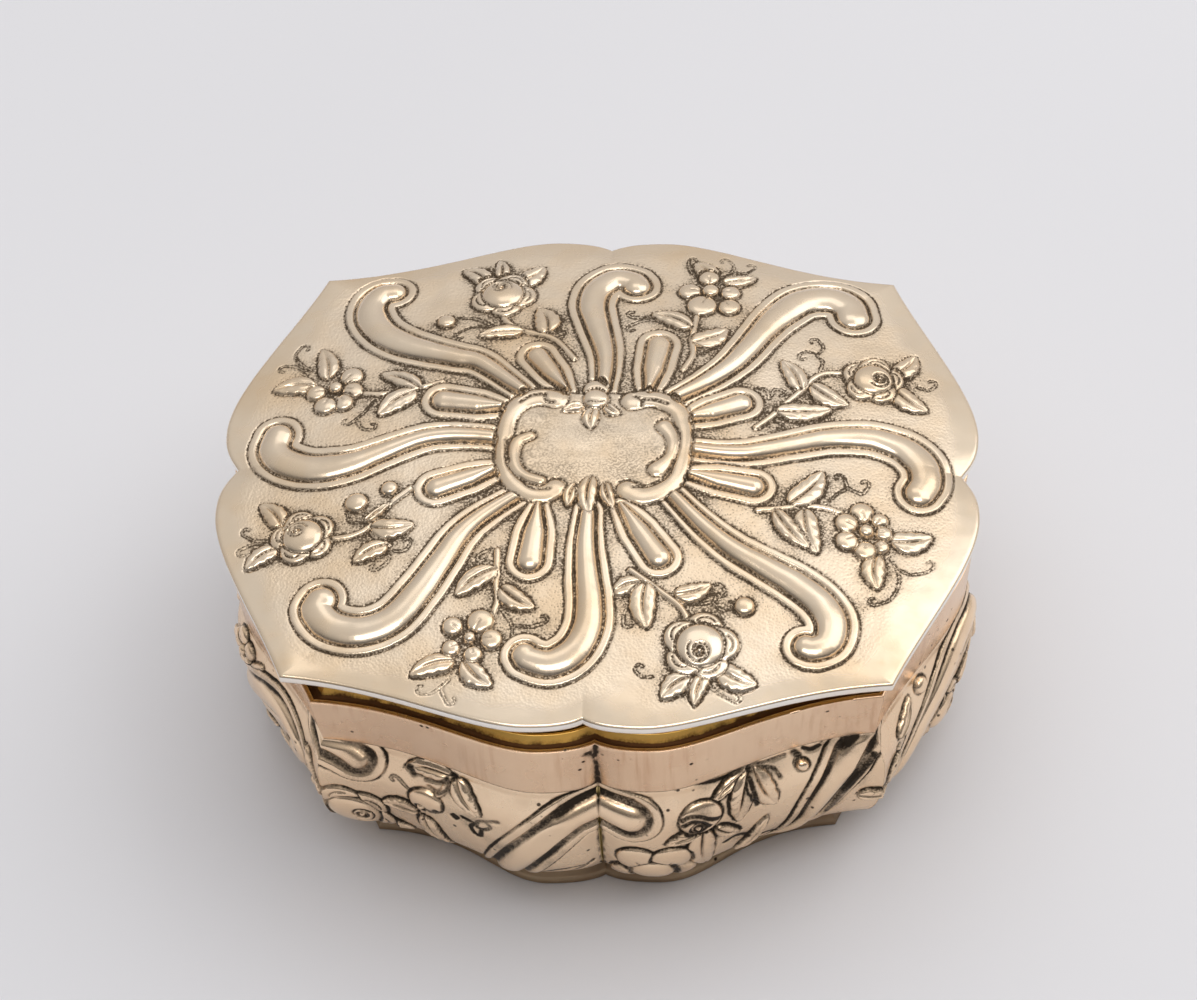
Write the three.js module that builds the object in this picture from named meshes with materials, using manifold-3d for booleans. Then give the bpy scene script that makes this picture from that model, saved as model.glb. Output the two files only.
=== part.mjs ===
// Lidded box of chased silver, gilt inside: a bombé case with a push-fit cover.
// Millimetres, +Z up, front towards -Y. The origin is on the table under the middle of the foot.
import * as THREE from 'three';
import Module from 'manifold-3d';

// Plan of the rim. Each side of the box has two lobes that meet in a cusp, and sweeps out of them to a
// corner.
// cornerX, cornerY: the corner; cuspX, cuspY: the cusps of the short and the long sides;
// lobeX, lobeY: how far the lobes stand out past those cusps.
const rimSize = { cornerX: 47.6, cornerY: 42.4, cuspX: 61.0, cuspY: 51.5, lobeX: 2.8, lobeY: 1.8 };

// How far each other outline stands out past the rim's, or falls short of it.
const coverStep = { cornerX: 2.8, cornerY: 2.2, cuspX: 1.0, cuspY: 0.9, lobeX: 0.1, lobeY: 0 };
const neckStep = { cornerX: -1.2, cornerY: -1.3, cuspX: -1.2, cuspY: -0.8, lobeX: 0.3, lobeY: 0.4 };
const bellyStep = { cornerX: 0.8, cornerY: 0.6, cuspX: 0.4, cuspY: 1.5, lobeX: 0.4, lobeY: 0.5 };
const flankStep = { cornerX: -1.1, cornerY: -1.2, cuspX: -1.4, cuspY: 0.2, lobeX: 0.2, lobeY: 0.3 };
const footStep = { cornerX: -7.4, cornerY: -5.4, cuspX: -7.0, cuspY: -4.3, lobeX: -0.2, lobeY: -0.1 };

// Shape shared by all outlines.
const lobeReachY = 9.5;
const lobeReachX = 9.0;
const lobeShoulder = 9.5;
const cuspSlope = 0.62;
const sweepY = 18;
const sweepX = 12;
const cornerSlopeY = 0.08;
const cornerSlopeX = 0.4;
const lobeSteps = 4;
const sweepSteps = 6;

// Heights above the table.
const footHeight = 4.6;
const flankZ = 12.4;
const bellyZ = 24.5;
const neckZ = 33;
const collarHeight = 11.5;
const coverLift = 5.9;

// Sheet and fitting sizes.
const seam = 0.3;
const wall = 0.8;
const collarWall = 0.9;
const footFlange = 1.1;
const footFlangeHeight = 1.2;
const footBand = 3;
const baseSheet = 0.9;
const ledgeDrop = 0.8;
const ledgeSheet = 0.8;
const ledgeWidth = 2.5;
const bezelClearance = 0.3;
const bezelWall = 0.9;
const bezelSeam = 0.4;
const bezelInsertion = 2.2;
const coverSheet = 0.8;
const coverDome = 6;
const edgeWireHeight = 1.0;
const edgeWireWidth = 1.7;
const coverTurn = -1.8;

// Chased relief of the cover, drawn in plan. A point is a share of the way from the middle to the cusps
// of the short and the long sides, and root and head are half widths.
const reliefHeight = 1.0;
const reliefKeying = 0.5;
const scrolls = [
  { path: [[-0.22, 0.27], [-0.34, 0.4], [-0.49, 0.465], [-0.63, 0.565], [-0.675, 0.705], [-0.615, 0.775]] },
  { path: [[0.01, 0.3], [0.005, 0.44], [-0.035, 0.59], [-0.045, 0.735], [0.025, 0.83], [0.085, 0.785]] },
  { path: [[0.21, 0.24], [0.355, 0.39], [0.445, 0.56], [0.54, 0.71], [0.645, 0.735], [0.7, 0.65]] },
  {
    path: [[-0.285, 0.055], [-0.43, 0.075], [-0.6, 0.01], [-0.765, -0.035], [-0.895, 0.035], [-0.88, 0.14]],
  },
  {
    path: [
      [0.26, 0.015], [0.4, 0.01], [0.55, 0.065], [0.71, 0.11], [0.85, 0.08], [0.905, -0.03], [0.875, -0.115],
    ],
  },
  {
    path: [[-0.22, -0.195], [-0.36, -0.345], [-0.44, -0.535], [-0.55, -0.68], [-0.69, -0.67], [-0.725, -0.565]],
  },
  {
    path: [[-0.015, -0.275], [-0.01, -0.44], [0.005, -0.63], [-0.015, -0.745], [-0.08, -0.815], [-0.16, -0.79]],
  },
  { path: [[0.23, -0.2], [0.38, -0.38], [0.555, -0.5], [0.645, -0.6], [0.65, -0.705], [0.575, -0.74]] },
];
const scrollWidths = { root: 1.3, head: 2.8, steps: 13 };
const drops = [
  { path: [[-0.105, 0.285], [-0.2, 0.48]] },
  { path: [[0.14, 0.275], [0.155, 0.53]] },
  { path: [[-0.26, 0.19], [-0.46, 0.25]] },
  { path: [[-0.265, -0.075], [-0.455, -0.17]] },
  { path: [[-0.15, -0.25], [-0.17, -0.485]] },
  { path: [[0.08, -0.25], [0.205, -0.465]] },
  { path: [[0.25, -0.095], [0.46, -0.135]] },
  { path: [[0.24, 0.145], [0.42, 0.245]] },
];
const dropWidths = { root: 0.7, head: 2.0, steps: 6 };
const cartouche = [
  {
    path: [
      [-0.115, 0.23], [-0.185, 0.22], [-0.24, 0.135], [-0.24, 0],
      [-0.22, -0.105], [-0.17, -0.165], [-0.115, -0.165],
    ],
  },
  {
    path: [
      [0.09, 0.22], [0.17, 0.215], [0.215, 0.135], [0.225, 0],
      [0.21, -0.095], [0.16, -0.17], [0.095, -0.175],
    ],
  },
];
const cartoucheWidths = { root: 1.9, head: 1.9, steps: 13 };
const buds = [
  { path: [[-0.01, 0.17], [-0.015, 0.285]] },
  { path: [[-0.01, -0.11], [-0.012, -0.26]] },
];
const budWidths = { root: 1.6, head: 2.3, steps: 5 };
const blossomRadius = 4.8;
const roseRadius = 4.4;
const flowers = [
  { centre: [-0.295, 0.755], radius: roseRadius, petals: 3 },
  { centre: [0.29, 0.78], radius: blossomRadius, petals: 5 },
  { centre: [0.765, 0.39], radius: roseRadius, petals: 3 },
  { centre: [0.74, -0.27], radius: blossomRadius, petals: 6 },
  { centre: [0.3, -0.755], radius: roseRadius, petals: 3 },
  { centre: [-0.32, -0.725], radius: blossomRadius, petals: 5 },
  { centre: [-0.795, -0.315], radius: roseRadius, petals: 3 },
  { centre: [-0.75, 0.345], radius: blossomRadius, petals: 5 },
];
const petalDepth = 0.14;
const flowerSides = 18;

const wasm = await Module();
wasm.setup();

const coverSize = grown(rimSize, coverStep);
const neckSize = grown(rimSize, neckStep);
const bellySize = grown(rimSize, bellyStep);
const flankSize = grown(rimSize, flankStep);
const footSize = grown(rimSize, footStep);

const rimZ = neckZ + seam + collarHeight;
const edgeBottomZ = rimZ + coverLift;
const coverEdgeZ = edgeBottomZ + edgeWireHeight + seam + coverSheet;
const ledgeTopZ = rimZ - ledgeDrop;

const silver = { color: 0xcfc2a4, roughness: 0.28, metalness: 1 };
const warmSilver = { color: 0xcdb497, roughness: 0.32, metalness: 1 };
const gilt = { color: 0xd2a045, roughness: 0.25, metalness: 1 };

// The outline that stands out past another by a step at its corner, cusps and lobes.
function grown(size, step) {
  return Object.fromEntries(Object.keys(size).map((key) => [key, size[key] + step[key]]));
}

// The outline a share of the way from one outline to another.
function between(from, to, share) {
  return Object.fromEntries(Object.keys(from).map((key) => [key, from[key] + (to[key] - from[key]) * share]));
}

// The outline moved in by a distance: the corner and the cusp move along their mitres.
function inset(size, distance) {
  const det = 1 - cornerSlopeY * cornerSlopeX;
  const lengthY = Math.hypot(1, cornerSlopeY);
  const lengthX = Math.hypot(1, cornerSlopeX);
  const cuspMitre = Math.hypot(1, cuspSlope);
  const grow = (cuspMitre - 1) * distance;
  return {
    cornerX: size.cornerX - distance * (lengthX - cornerSlopeX * lengthY) / det,
    cornerY: size.cornerY - distance * (lengthY - cornerSlopeY * lengthX) / det,
    cuspX: size.cuspX - distance * cuspMitre,
    cuspY: size.cuspY - distance * cuspMitre,
    lobeX: size.lobeX + grow,
    lobeY: size.lobeY + grow,
  };
}

// Half of one side, from its cusp to its corner, as [along, out] points.
function halfSide(cusp, lobe, reach, along, out, slope, sweep) {
  const peak = cusp + lobe;
  const lobeCurve = new THREE.CubicBezierCurve(
    new THREE.Vector2(0, cusp),
    new THREE.Vector2(lobe, cusp + lobe * cuspSlope),
    new THREE.Vector2(reach / 2, peak),
    new THREE.Vector2(reach, peak),
  );
  const sweepCurve = new THREE.CubicBezierCurve(
    new THREE.Vector2(reach, peak),
    new THREE.Vector2(reach + lobeShoulder, peak),
    new THREE.Vector2(along - sweep, out + sweep * slope),
    new THREE.Vector2(along, out),
  );
  return [...lobeCurve.getPoints(lobeSteps), ...sweepCurve.getPoints(sweepSteps).slice(1)];
}

// The whole outline, anticlockwise from the right-hand cusp.
function outline(size) {
  const long = halfSide(size.cuspY, size.lobeY, lobeReachY, size.cornerX, size.cornerY, cornerSlopeY, sweepY);
  const short = halfSide(size.cuspX, size.lobeX, lobeReachX, size.cornerY, size.cornerX, cornerSlopeX, sweepX);
  const upper = short.map((p) => [p.y, p.x]);
  upper.push(...long.map((p) => [p.x, p.y]).reverse().slice(1));
  const left = upper.map(([x, y]) => [-x, y]).reverse().slice(1);
  const lowerLeft = upper.map(([x, y]) => [-x, -y]).slice(1);
  const lowerRight = upper.map(([x, y]) => [x, -y]).reverse().slice(1, -1);
  return [...upper, ...left, ...lowerLeft, ...lowerRight];
}

// An outline at a height, as a ring of points.
function ring(size, z) {
  return outline(size).map(([x, y]) => new THREE.Vector3(x, y, z));
}

// A surface over rings of equal count. Closed rings of rings make a tube wall; otherwise both ends are capped.
function loft(rings, closed) {
  const count = rings[0].length;
  const positions = rings.flat().flatMap((p) => [p.x, p.y, p.z]);
  const faces = [];
  const bands = closed ? rings.length : rings.length - 1;
  for (let band = 0; band < bands; band += 1) {
    const lower = band * count;
    const upper = ((band + 1) % rings.length) * count;
    for (let i = 0; i < count; i += 1) {
      const next = (i + 1) % count;
      faces.push(lower + i, lower + next, upper + next, lower + i, upper + next, upper + i);
    }
  }
  if (!closed) {
    const last = (rings.length - 1) * count;
    const middleOf = (points) => (
      points.reduce((sum, p) => sum.add(p), new THREE.Vector3()).divideScalar(points.length)
    );
    const ends = [middleOf(rings[0]), middleOf(rings[rings.length - 1])];
    const bottom = positions.length / 3;
    ends.forEach((p) => positions.push(p.x, p.y, p.z));
    for (let i = 0; i < count; i += 1) {
      const next = (i + 1) % count;
      faces.push(bottom, next, i, bottom + 1, last + i, last + next);
    }
  }
  const geometry = new THREE.BufferGeometry();
  geometry.setAttribute('position', new THREE.Float32BufferAttribute(positions, 3));
  geometry.setIndex(faces);
  geometry.computeVertexNormals();
  return geometry;
}

// A closed band: each section entry is an outline and a height, outside going up and inside coming down.
function band(sections) {
  return loft(sections.map(([size, z]) => ring(size, z)), true);
}

function piece(name, geometry, finish) {
  const mesh = new THREE.Mesh(geometry, new THREE.MeshStandardMaterial(finish));
  mesh.name = name;
  return mesh;
}

// The swelling wall: outline sizes along a smooth curve from the foot to the neck.
function wallSections(steps, thickness) {
  const levels = [
    [footHeight + seam, footSize],
    [flankZ, flankSize],
    [bellyZ, bellySize],
    [neckZ, neckSize],
  ];
  const curveOf = (key) => new THREE.SplineCurve(levels.map(([z, size]) => new THREE.Vector2(size[key], z)));
  const keys = Object.keys(footSize);
  const sampled = keys.map((key) => curveOf(key).getPoints(steps));
  return sampled[0].map((point, row) => {
    const size = Object.fromEntries(keys.map((key, column) => [key, sampled[column][row].x]));
    return [inset(size, thickness), point.y];
  });
}

function bodyWall() {
  const outside = wallSections(9, 0);
  const inside = wallSections(6, wall).reverse();
  return piece('body_wall', band([...outside, ...inside]), warmSilver);
}

// The plain neck band, spreading a little to its rim.
function collar() {
  const bottom = neckZ + seam;
  return piece('collar', band([
    [neckSize, bottom],
    [rimSize, rimZ],
    [inset(rimSize, collarWall), rimZ],
    [inset(neckSize, collarWall), bottom],
  ]), warmSilver);
}

// The outline that just fits inside the collar at a height below the rim.
function insideCollar(depth) {
  const lean = between(rimSize, neckSize, depth / collarHeight);
  return inset(lean, collarWall + seam);
}

const ledgeTopOutside = insideCollar(ledgeDrop);
const ledgeBottomOutside = insideCollar(ledgeDrop + ledgeSheet);
const opening = inset(ledgeBottomOutside, ledgeWidth);

// The gilt shelf inside the rim, which guides the bezel.
function rimLedge() {
  const bottom = ledgeTopZ - ledgeSheet;
  return piece('rim_ledge', band([
    [ledgeBottomOutside, bottom],
    [ledgeTopOutside, ledgeTopZ],
    [opening, ledgeTopZ],
    [opening, bottom],
  ]), gilt);
}

// The foot: an upright band with a thin flange where it meets the table.
function footRing() {
  const lip = inset(footSize, -footFlange);
  const inner = inset(footSize, footBand);
  return piece('foot_ring', band([
    [inset(footSize, -footFlange / 2), 0],
    [lip, footFlangeHeight / 2],
    [inset(footSize, -footFlange / 2), footFlangeHeight],
    [footSize, footFlangeHeight + seam],
    [footSize, footHeight],
    [inner, footHeight],
    [inner, 0],
  ]), warmSilver);
}

function basePlate() {
  const size = inset(footSize, wall + seam);
  const bottom = footHeight + seam;
  return piece('base_plate', loft([ring(size, bottom), ring(size, bottom + baseSheet)], false), gilt);
}

// Height of the cover's top above its edge at a share of the way out from the middle.
function domeRise(share) {
  return coverDome * (1 - share * share);
}

// How far out a point lies on the cover, as a share of the way to its edge along the same ray.
function shareAt(point) {
  const edge = outline(coverSize);
  let share = 1;
  edge.forEach(([x1, y1], i) => {
    const [x2, y2] = edge[(i + 1) % edge.length];
    const from = x1 * point.y - y1 * point.x;
    const to = x2 * point.y - y2 * point.x;
    const ahead = x1 * point.x + y1 * point.y > 0;
    if (ahead && from >= 0 && to < 0) {
      const t = from / (from - to);
      share = point.length() / Math.hypot(x1 + t * (x2 - x1), y1 + t * (y2 - y1));
    }
  });
  return share;
}

// A point at a height over the cover's top.
function onCover(point, height) {
  return new THREE.Vector3(point.x, point.y, coverEdgeZ + domeRise(shareAt(point)) + height);
}

// A place in the relief's drawing as a point in plan.
function drawn([x, y]) {
  return new THREE.Vector2(x * coverSize.cuspX, y * coverSize.cuspY);
}

function coverRings(shares, drop) {
  const flat = outline(coverSize);
  return shares.map((share) => flat.map(([x, y]) => (
    new THREE.Vector3(x * share, y * share, coverEdgeZ + domeRise(share) - drop)
  )));
}

// A rib that follows a path over the cover, swelling from its root to a round head.
function rib({ path }, { root, head, steps }) {
  const spine = new THREE.SplineCurve(path.map(drawn));
  const length = spine.getLength();
  const section = [[1, -reliefKeying], [1, 0], [0.7, 0.7], [0, 1], [-0.7, 0.7], [-1, 0], [-1, -reliefKeying]];
  const rings = [];
  for (let i = 0; i <= steps; i += 1) {
    const along = Math.sin((i / steps) * Math.PI / 2);
    const left = (1 - along) * length;
    const round = Math.sqrt(Math.max(0.09, 1 - Math.max(0, 1 - left / head) ** 2));
    const half = THREE.MathUtils.lerp(root, head, along) * round;
    const middle = spine.getPointAt(along);
    const tangent = spine.getTangentAt(along);
    const across = new THREE.Vector2(-tangent.y, tangent.x);
    rings.push(section.map(([side, level]) => {
      const height = level > 0 ? level * reliefHeight * round : level;
      return onCover(middle.clone().addScaledVector(across, side * half), height);
    }));
  }
  return loft(rings, false);
}

// A low flower head with a scalloped edge.
function flower({ centre, radius, petals }) {
  const middle = drawn(centre);
  const levels = [[1, -reliefKeying], [1, reliefHeight / 3], [0.72, reliefHeight]];
  return loft(levels.map(([share, height]) => (
    Array.from({ length: flowerSides }, (_, i) => {
      const angle = (i / flowerSides) * 2 * Math.PI;
      const reach = share * radius * (1 + petalDepth * Math.cos(petals * angle));
      return onCover(new THREE.Vector2(Math.cos(angle), Math.sin(angle)).multiplyScalar(reach).add(middle), height);
    })
  )), false);
}

function solid(geometry) {
  return new wasm.Manifold(new wasm.Mesh({
    numProp: 3,
    vertProperties: geometry.attributes.position.array,
    triVerts: new Uint32Array(geometry.index.array),
  }));
}

function fused(geometries) {
  const mesh = geometries.map(solid).reduce((whole, next) => whole.add(next)).getMesh();
  const geometry = new THREE.BufferGeometry();
  geometry.setAttribute('position', new THREE.Float32BufferAttribute(mesh.vertProperties, 3));
  geometry.setIndex(Array.from(mesh.triVerts));
  geometry.computeVertexNormals();
  return geometry;
}

// The domed cover sheet with its chased relief.
function lidCover() {
  const shares = [0.12, 0.3, 0.48, 0.66, 0.82, 0.93, 1];
  const top = coverRings([...shares].reverse(), 0);
  const underside = coverRings(shares, coverSheet);
  return piece('lid_cover', fused([
    loft([...underside, ...top], false),
    ...scrolls.map((scroll) => rib(scroll, scrollWidths)),
    ...drops.map((drop) => rib(drop, dropWidths)),
    ...cartouche.map((frame) => rib(frame, cartoucheWidths)),
    ...buds.map((bud) => rib(bud, budWidths)),
    ...flowers.map(flower),
  ]), silver);
}

// The rounded wire that stiffens the edge of the cover from below.
function edgeWire() {
  const top = edgeBottomZ + edgeWireHeight;
  const middle = edgeBottomZ + edgeWireHeight / 2;
  const round = edgeWireHeight / 4;
  return piece('lid_edge_wire', band([
    [inset(coverSize, round * 2), edgeBottomZ],
    [coverSize, middle],
    [inset(coverSize, round), top],
    [inset(coverSize, edgeWireWidth), top],
    [inset(coverSize, edgeWireWidth), edgeBottomZ],
  ]), silver);
}

// The upright gilt band under the cover, a push fit in the opening of the ledge.
function lidBezel() {
  const outside = inset(opening, bezelClearance);
  const inside = inset(outside, bezelWall);
  const bottom = ledgeTopZ - bezelInsertion;
  const turnBack = -THREE.MathUtils.degToRad(coverTurn);
  const underCover = (size) => outline(size).map(([x, y]) => {
    const onTurned = new THREE.Vector2(x, y).rotateAround(new THREE.Vector2(), turnBack);
    return new THREE.Vector3(x, y, onCover(onTurned, -coverSheet - bezelSeam).z);
  });
  return piece('lid_bezel', loft([
    ring(outside, bottom),
    underCover(outside),
    underCover(inside),
    ring(inside, bottom),
  ], true), gilt);
}

const box = new THREE.Group();
box.add(footRing(), basePlate(), bodyWall(), collar(), rimLedge());
const lid = new THREE.Group();
lid.add(lidBezel());
const cover = new THREE.Group();
cover.add(lidCover(), edgeWire());
cover.rotation.z = THREE.MathUtils.degToRad(coverTurn);
lid.add(cover);
box.add(lid);

export default box;
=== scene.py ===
import logging
import math
from dataclasses import dataclass, replace
from enum import Enum

import bpy
import numpy as np
from mathutils import Matrix, Vector


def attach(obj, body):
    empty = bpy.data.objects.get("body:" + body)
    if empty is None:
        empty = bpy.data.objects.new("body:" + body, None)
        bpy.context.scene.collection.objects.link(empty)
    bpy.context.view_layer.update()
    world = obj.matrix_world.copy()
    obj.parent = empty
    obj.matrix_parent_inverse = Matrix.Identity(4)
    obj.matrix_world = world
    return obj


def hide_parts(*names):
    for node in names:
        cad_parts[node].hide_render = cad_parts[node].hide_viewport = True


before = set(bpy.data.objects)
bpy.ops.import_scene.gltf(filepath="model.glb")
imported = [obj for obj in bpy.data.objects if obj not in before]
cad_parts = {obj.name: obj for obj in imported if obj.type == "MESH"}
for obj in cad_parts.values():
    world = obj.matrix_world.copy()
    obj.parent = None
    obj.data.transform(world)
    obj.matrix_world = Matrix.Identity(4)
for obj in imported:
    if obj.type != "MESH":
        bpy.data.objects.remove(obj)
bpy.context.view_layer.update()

# Lidded box of chased silver, gilt inside. Shapes are in millimetres here, and their meshes in metres.
MM = 0.001
LOG = logging.getLogger("lidded_box")

Point = tuple[float, float]
Path = tuple[Point, ...]
Petal = tuple[float, float, float]
Corner = tuple[float, float, float]
Colour = tuple[float, float, float]
Wave = tuple[float, float, int]


class Material(Enum):
    """The material slots."""

    CASE = "case_silver"
    COVER = "cover_silver"
    GILT = "gilt_lining"


# Plan outlines: corner x and y, cusp x and y, and how far the lobes rise over their cusps in x and y.
RIM = np.array([47.6, 42.4, 61.0, 51.5, 2.8, 1.8])
COVER = RIM + [2.8, 2.2, 1.0, 0.9, 0.1, 0.0]
NECK = RIM + [-1.2, -1.3, -1.2, -0.8, 0.3, 0.4]
BELLY = RIM + [0.8, 0.6, 0.4, 1.5, 0.4, 0.5]
FLANK = RIM + [-1.1, -1.2, -1.4, 0.2, 0.2, 0.3]
FOOT = RIM + [-7.4, -5.4, -7.0, -4.3, -0.2, -0.1]


@dataclass(frozen=True)
class Heights:
    """Heights above the table and the dome's rise, in mm, and the cover's turn on the case, in degrees."""

    foot: float = 4.6
    seam: float = 0.3
    flank: float = 11.3
    belly: float = 24.5
    neck: float = 33.0
    rim: float = 44.8
    ledge: float = 44.0
    bezel_bottom: float = 41.8
    cover_bottom: float = 50.7
    cover_edge: float = 52.8
    dome: float = 6.0
    cover_turn: float = -1.8


HEIGHTS = Heights()


@dataclass(frozen=True)
class PlanCurve:
    """The shape that all the outlines share: a lobe curve from a cusp, then a sweep to the corner."""

    reach_long: float = 9.5
    reach_short: float = 9.0
    shoulder: float = 9.5
    cusp_slope: float = 0.62
    sweep_long: float = 18.0
    sweep_short: float = 12.0
    corner_slope_long: float = 0.08
    corner_slope_short: float = 0.4
    fine_steps: int = 1601

    def half_side(self, size: np.ndarray, q: np.ndarray, long_side: bool) -> tuple[np.ndarray, np.ndarray]:
        """Half of one side, from its cusp (q 0) over the lobe's peak (q 1) to the corner (q 2).

        Two cubic Bezier curves, each the sum of its four control values times the Bernstein weights.

        Args:
            size: Outline sizes in the last axis.
            q: Places along the half side.
            long_side: True for the front and back, False for the ends.

        Returns:
            The distance along the side from its cusp, and the distance out from the middle.
        """
        corner_x, corner_y, cusp_x, cusp_y, lobe_x, lobe_y = np.moveaxis(size, -1, 0)
        if long_side:
            cusp, lobe, along, out = cusp_y, lobe_y, corner_x, corner_y
            reach, slope, sweep = self.reach_long, self.corner_slope_long, self.sweep_long
        else:
            cusp, lobe, along, out = cusp_x, lobe_x, corner_y, corner_x
            reach, slope, sweep = self.reach_short, self.corner_slope_short, self.sweep_short
        peak = cusp + lobe
        nought = np.zeros_like(cusp)
        first = (
            (nought, lobe, nought + reach / 2, nought + reach),
            (cusp, cusp + lobe * self.cusp_slope, peak, peak),
        )
        second = (
            (nought + reach, nought + reach + self.shoulder, along - sweep, along),
            (peak, peak, out + sweep * slope, out),
        )
        return tuple(
            np.where(q < 1, self.bezier(a, np.clip(q, 0, 1)), self.bezier(b, np.clip(q - 1, 0, 1)))
            for a, b in zip(first, second)
        )

    @staticmethod
    def bezier(controls: tuple[np.ndarray, ...], t: np.ndarray) -> np.ndarray:
        """Value of a cubic Bezier curve.

        Args:
            controls: Its four control values.
            t: Places on it, from 0 to 1.

        Returns:
            The values.
        """
        a, b, c, d = controls
        s = 1 - t
        return s**3 * a + 3 * s * s * t * b + 3 * s * t * t * c + t**3 * d

    def inset(self, size: np.ndarray, distance: float) -> np.ndarray:
        """The outline moved in by a distance, with its corner and cusps moved along their mitres.

        Args:
            size: Outline sizes in the last axis.
            distance: How far in, in mm.

        Returns:
            The new outline sizes.
        """
        det = 1 - self.corner_slope_long * self.corner_slope_short
        long_len = math.hypot(1, self.corner_slope_long)
        short_len = math.hypot(1, self.corner_slope_short)
        mitre = math.hypot(1, self.cusp_slope)
        step = [
            -(short_len - self.corner_slope_short * long_len) / det,
            -(long_len - self.corner_slope_long * short_len) / det,
            -mitre,
            -mitre,
            mitre - 1,
            mitre - 1,
        ]
        return size + distance * np.array(step)

    def even_places(self, size: np.ndarray, long_side: bool, count: int) -> tuple[np.ndarray, float]:
        """Parts a half side into equal lengths, by its length summed over fine steps.

        Args:
            size: Sizes of one outline.
            long_side: True for the front and back, False for the ends.
            count: How many places, with both ends.

        Returns:
            The places q, and the whole length.
        """
        q = np.linspace(0, 2, self.fine_steps)
        along, out = self.half_side(size, q, long_side)
        length = np.concatenate([[0], np.cumsum(np.hypot(np.diff(along), np.diff(out)))])
        return np.interp(np.linspace(0, length[-1], count), length, q), float(length[-1])

    def quarter(self, size: np.ndarray, long_q: np.ndarray,
                short_q: np.ndarray) -> tuple[np.ndarray, np.ndarray]:
        """A quarter of the outline from a long side's cusp round the corner to a short side's cusp.

        Args:
            size: Outline sizes in the last axis, with one axis before it for the quarter's points.
            long_q: Places along the long half side, from its cusp.
            short_q: Places along the short half side, from its cusp; its corner is left out as a repeat.

        Returns:
            x and y, both positive.
        """
        along, out = self.half_side(size, long_q, True)
        side, reach = self.half_side(size, short_q[::-1][1:], False)
        return np.concatenate([along, reach], axis=-1), np.concatenate([out, side], axis=-1)


CURVE = PlanCurve()


@dataclass(frozen=True)
class Perimeter:
    """Even steps round the box: how many points each half side gets, and how long the half sides are."""

    long_count: int
    short_count: int
    guide: tuple[float, ...] = tuple(BELLY)

    def places(self) -> tuple[np.ndarray, np.ndarray, np.ndarray]:
        """The even places on a quarter.

        Returns:
            Places along the long half side and the short one, and each point's distance from the long
            side's cusp.
        """
        guide = np.array(self.guide)
        long_q, long_length = CURVE.even_places(guide, True, self.long_count)
        short_q, short_length = CURVE.even_places(guide, False, self.short_count)
        first = np.linspace(0, long_length, self.long_count)
        second = np.linspace(long_length, long_length + short_length, self.short_count)
        return long_q, short_q, np.concatenate([first, second[1:]])

    def rings(self, sizes: np.ndarray) -> np.ndarray:
        """Whole outlines, anticlockwise from the front cusp.

        Args:
            sizes: One row of outline sizes for each ring.

        Returns:
            Rings by points by x and y.
        """
        long_q, short_q, _ = self.places()
        x, y = CURVE.quarter(sizes[:, None, :], long_q, short_q)
        turns = [(x, -y), (x[:, ::-1], y[:, ::-1]), (-x, y), (-x[:, ::-1], -y[:, ::-1])]
        return np.concatenate([np.stack(turn, -1)[:, :-1] for turn in turns], axis=1)

    def way_round(self) -> np.ndarray:
        """Distance of each point of a whole outline from the front cusp, negative on the left."""
        _, _, distance = self.places()
        span = distance[-1]
        half = np.concatenate([distance[:-1], (2 * span - distance[::-1])[:-1]])
        whole = np.concatenate([half, 2 * span + half])
        return np.where(whole > 2 * span, whole - 4 * span, whole)


# Cells each way in the noise's lattice, and samples on each span of a path.
LATTICE = 64
SPAN_STEPS = 12

# Noises as strength in mm, scale in mm and seed: the hand's wobble, then the unevenness of the sheets.
HAND_WOBBLE = ((0.05, 0.7, 31), (0.05, 2.6, 32))
COVER_WAVES = ((0.02, 1.9, 2), (0.045, 4.2, 3), (0.08, 13.0, 4))
WALL_WAVES = ((0.03, 3.4, 5), (0.05, 9.0, 6))


def soft_step(low: float, high: float, value: np.ndarray) -> np.ndarray:
    """0 at low, 1 at high, with the smooth cubic 3t^2 - 2t^3 between them."""
    t = np.clip((value - low) / (high - low), 0, 1)
    return t * t * (3 - 2 * t)


def soft_noise(x: np.ndarray, y: np.ndarray, scale: float, seed: int) -> np.ndarray:
    """Smooth value noise: random values on a square lattice, joined with the smooth cubic.

    Args:
        x: Places in mm.
        y: Places in mm.
        scale: The lattice's step in mm.
        seed: Seed of its values.

    Returns:
        The noise, from -1 to 1.
    """
    values = np.random.default_rng(seed).uniform(-1, 1, (LATTICE, LATTICE))
    u, v = x / scale, y / scale
    column, row = np.floor(u).astype(int), np.floor(v).astype(int)
    across, up = soft_step(0, 1, u - column), soft_step(0, 1, v - row)
    corner = [values[(row + j) % LATTICE, (column + i) % LATTICE] for j in (0, 1) for i in (0, 1)]
    lower = corner[0] + (corner[1] - corner[0]) * across
    upper = corner[2] + (corner[3] - corner[2]) * across
    return lower + (upper - lower) * up


def waves(x: np.ndarray, y: np.ndarray, parts: tuple[Wave, ...]) -> np.ndarray:
    """A sum of smooth noises, each of its own strength, scale and seed."""
    return sum(strength * soft_noise(x, y, scale, seed) for strength, scale, seed in parts)


def bell(value: np.ndarray, half: float) -> np.ndarray:
    """A bell-shaped weight: e to the minus square of the value over its half width."""
    return np.exp(-((value / half) ** 2))


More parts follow.
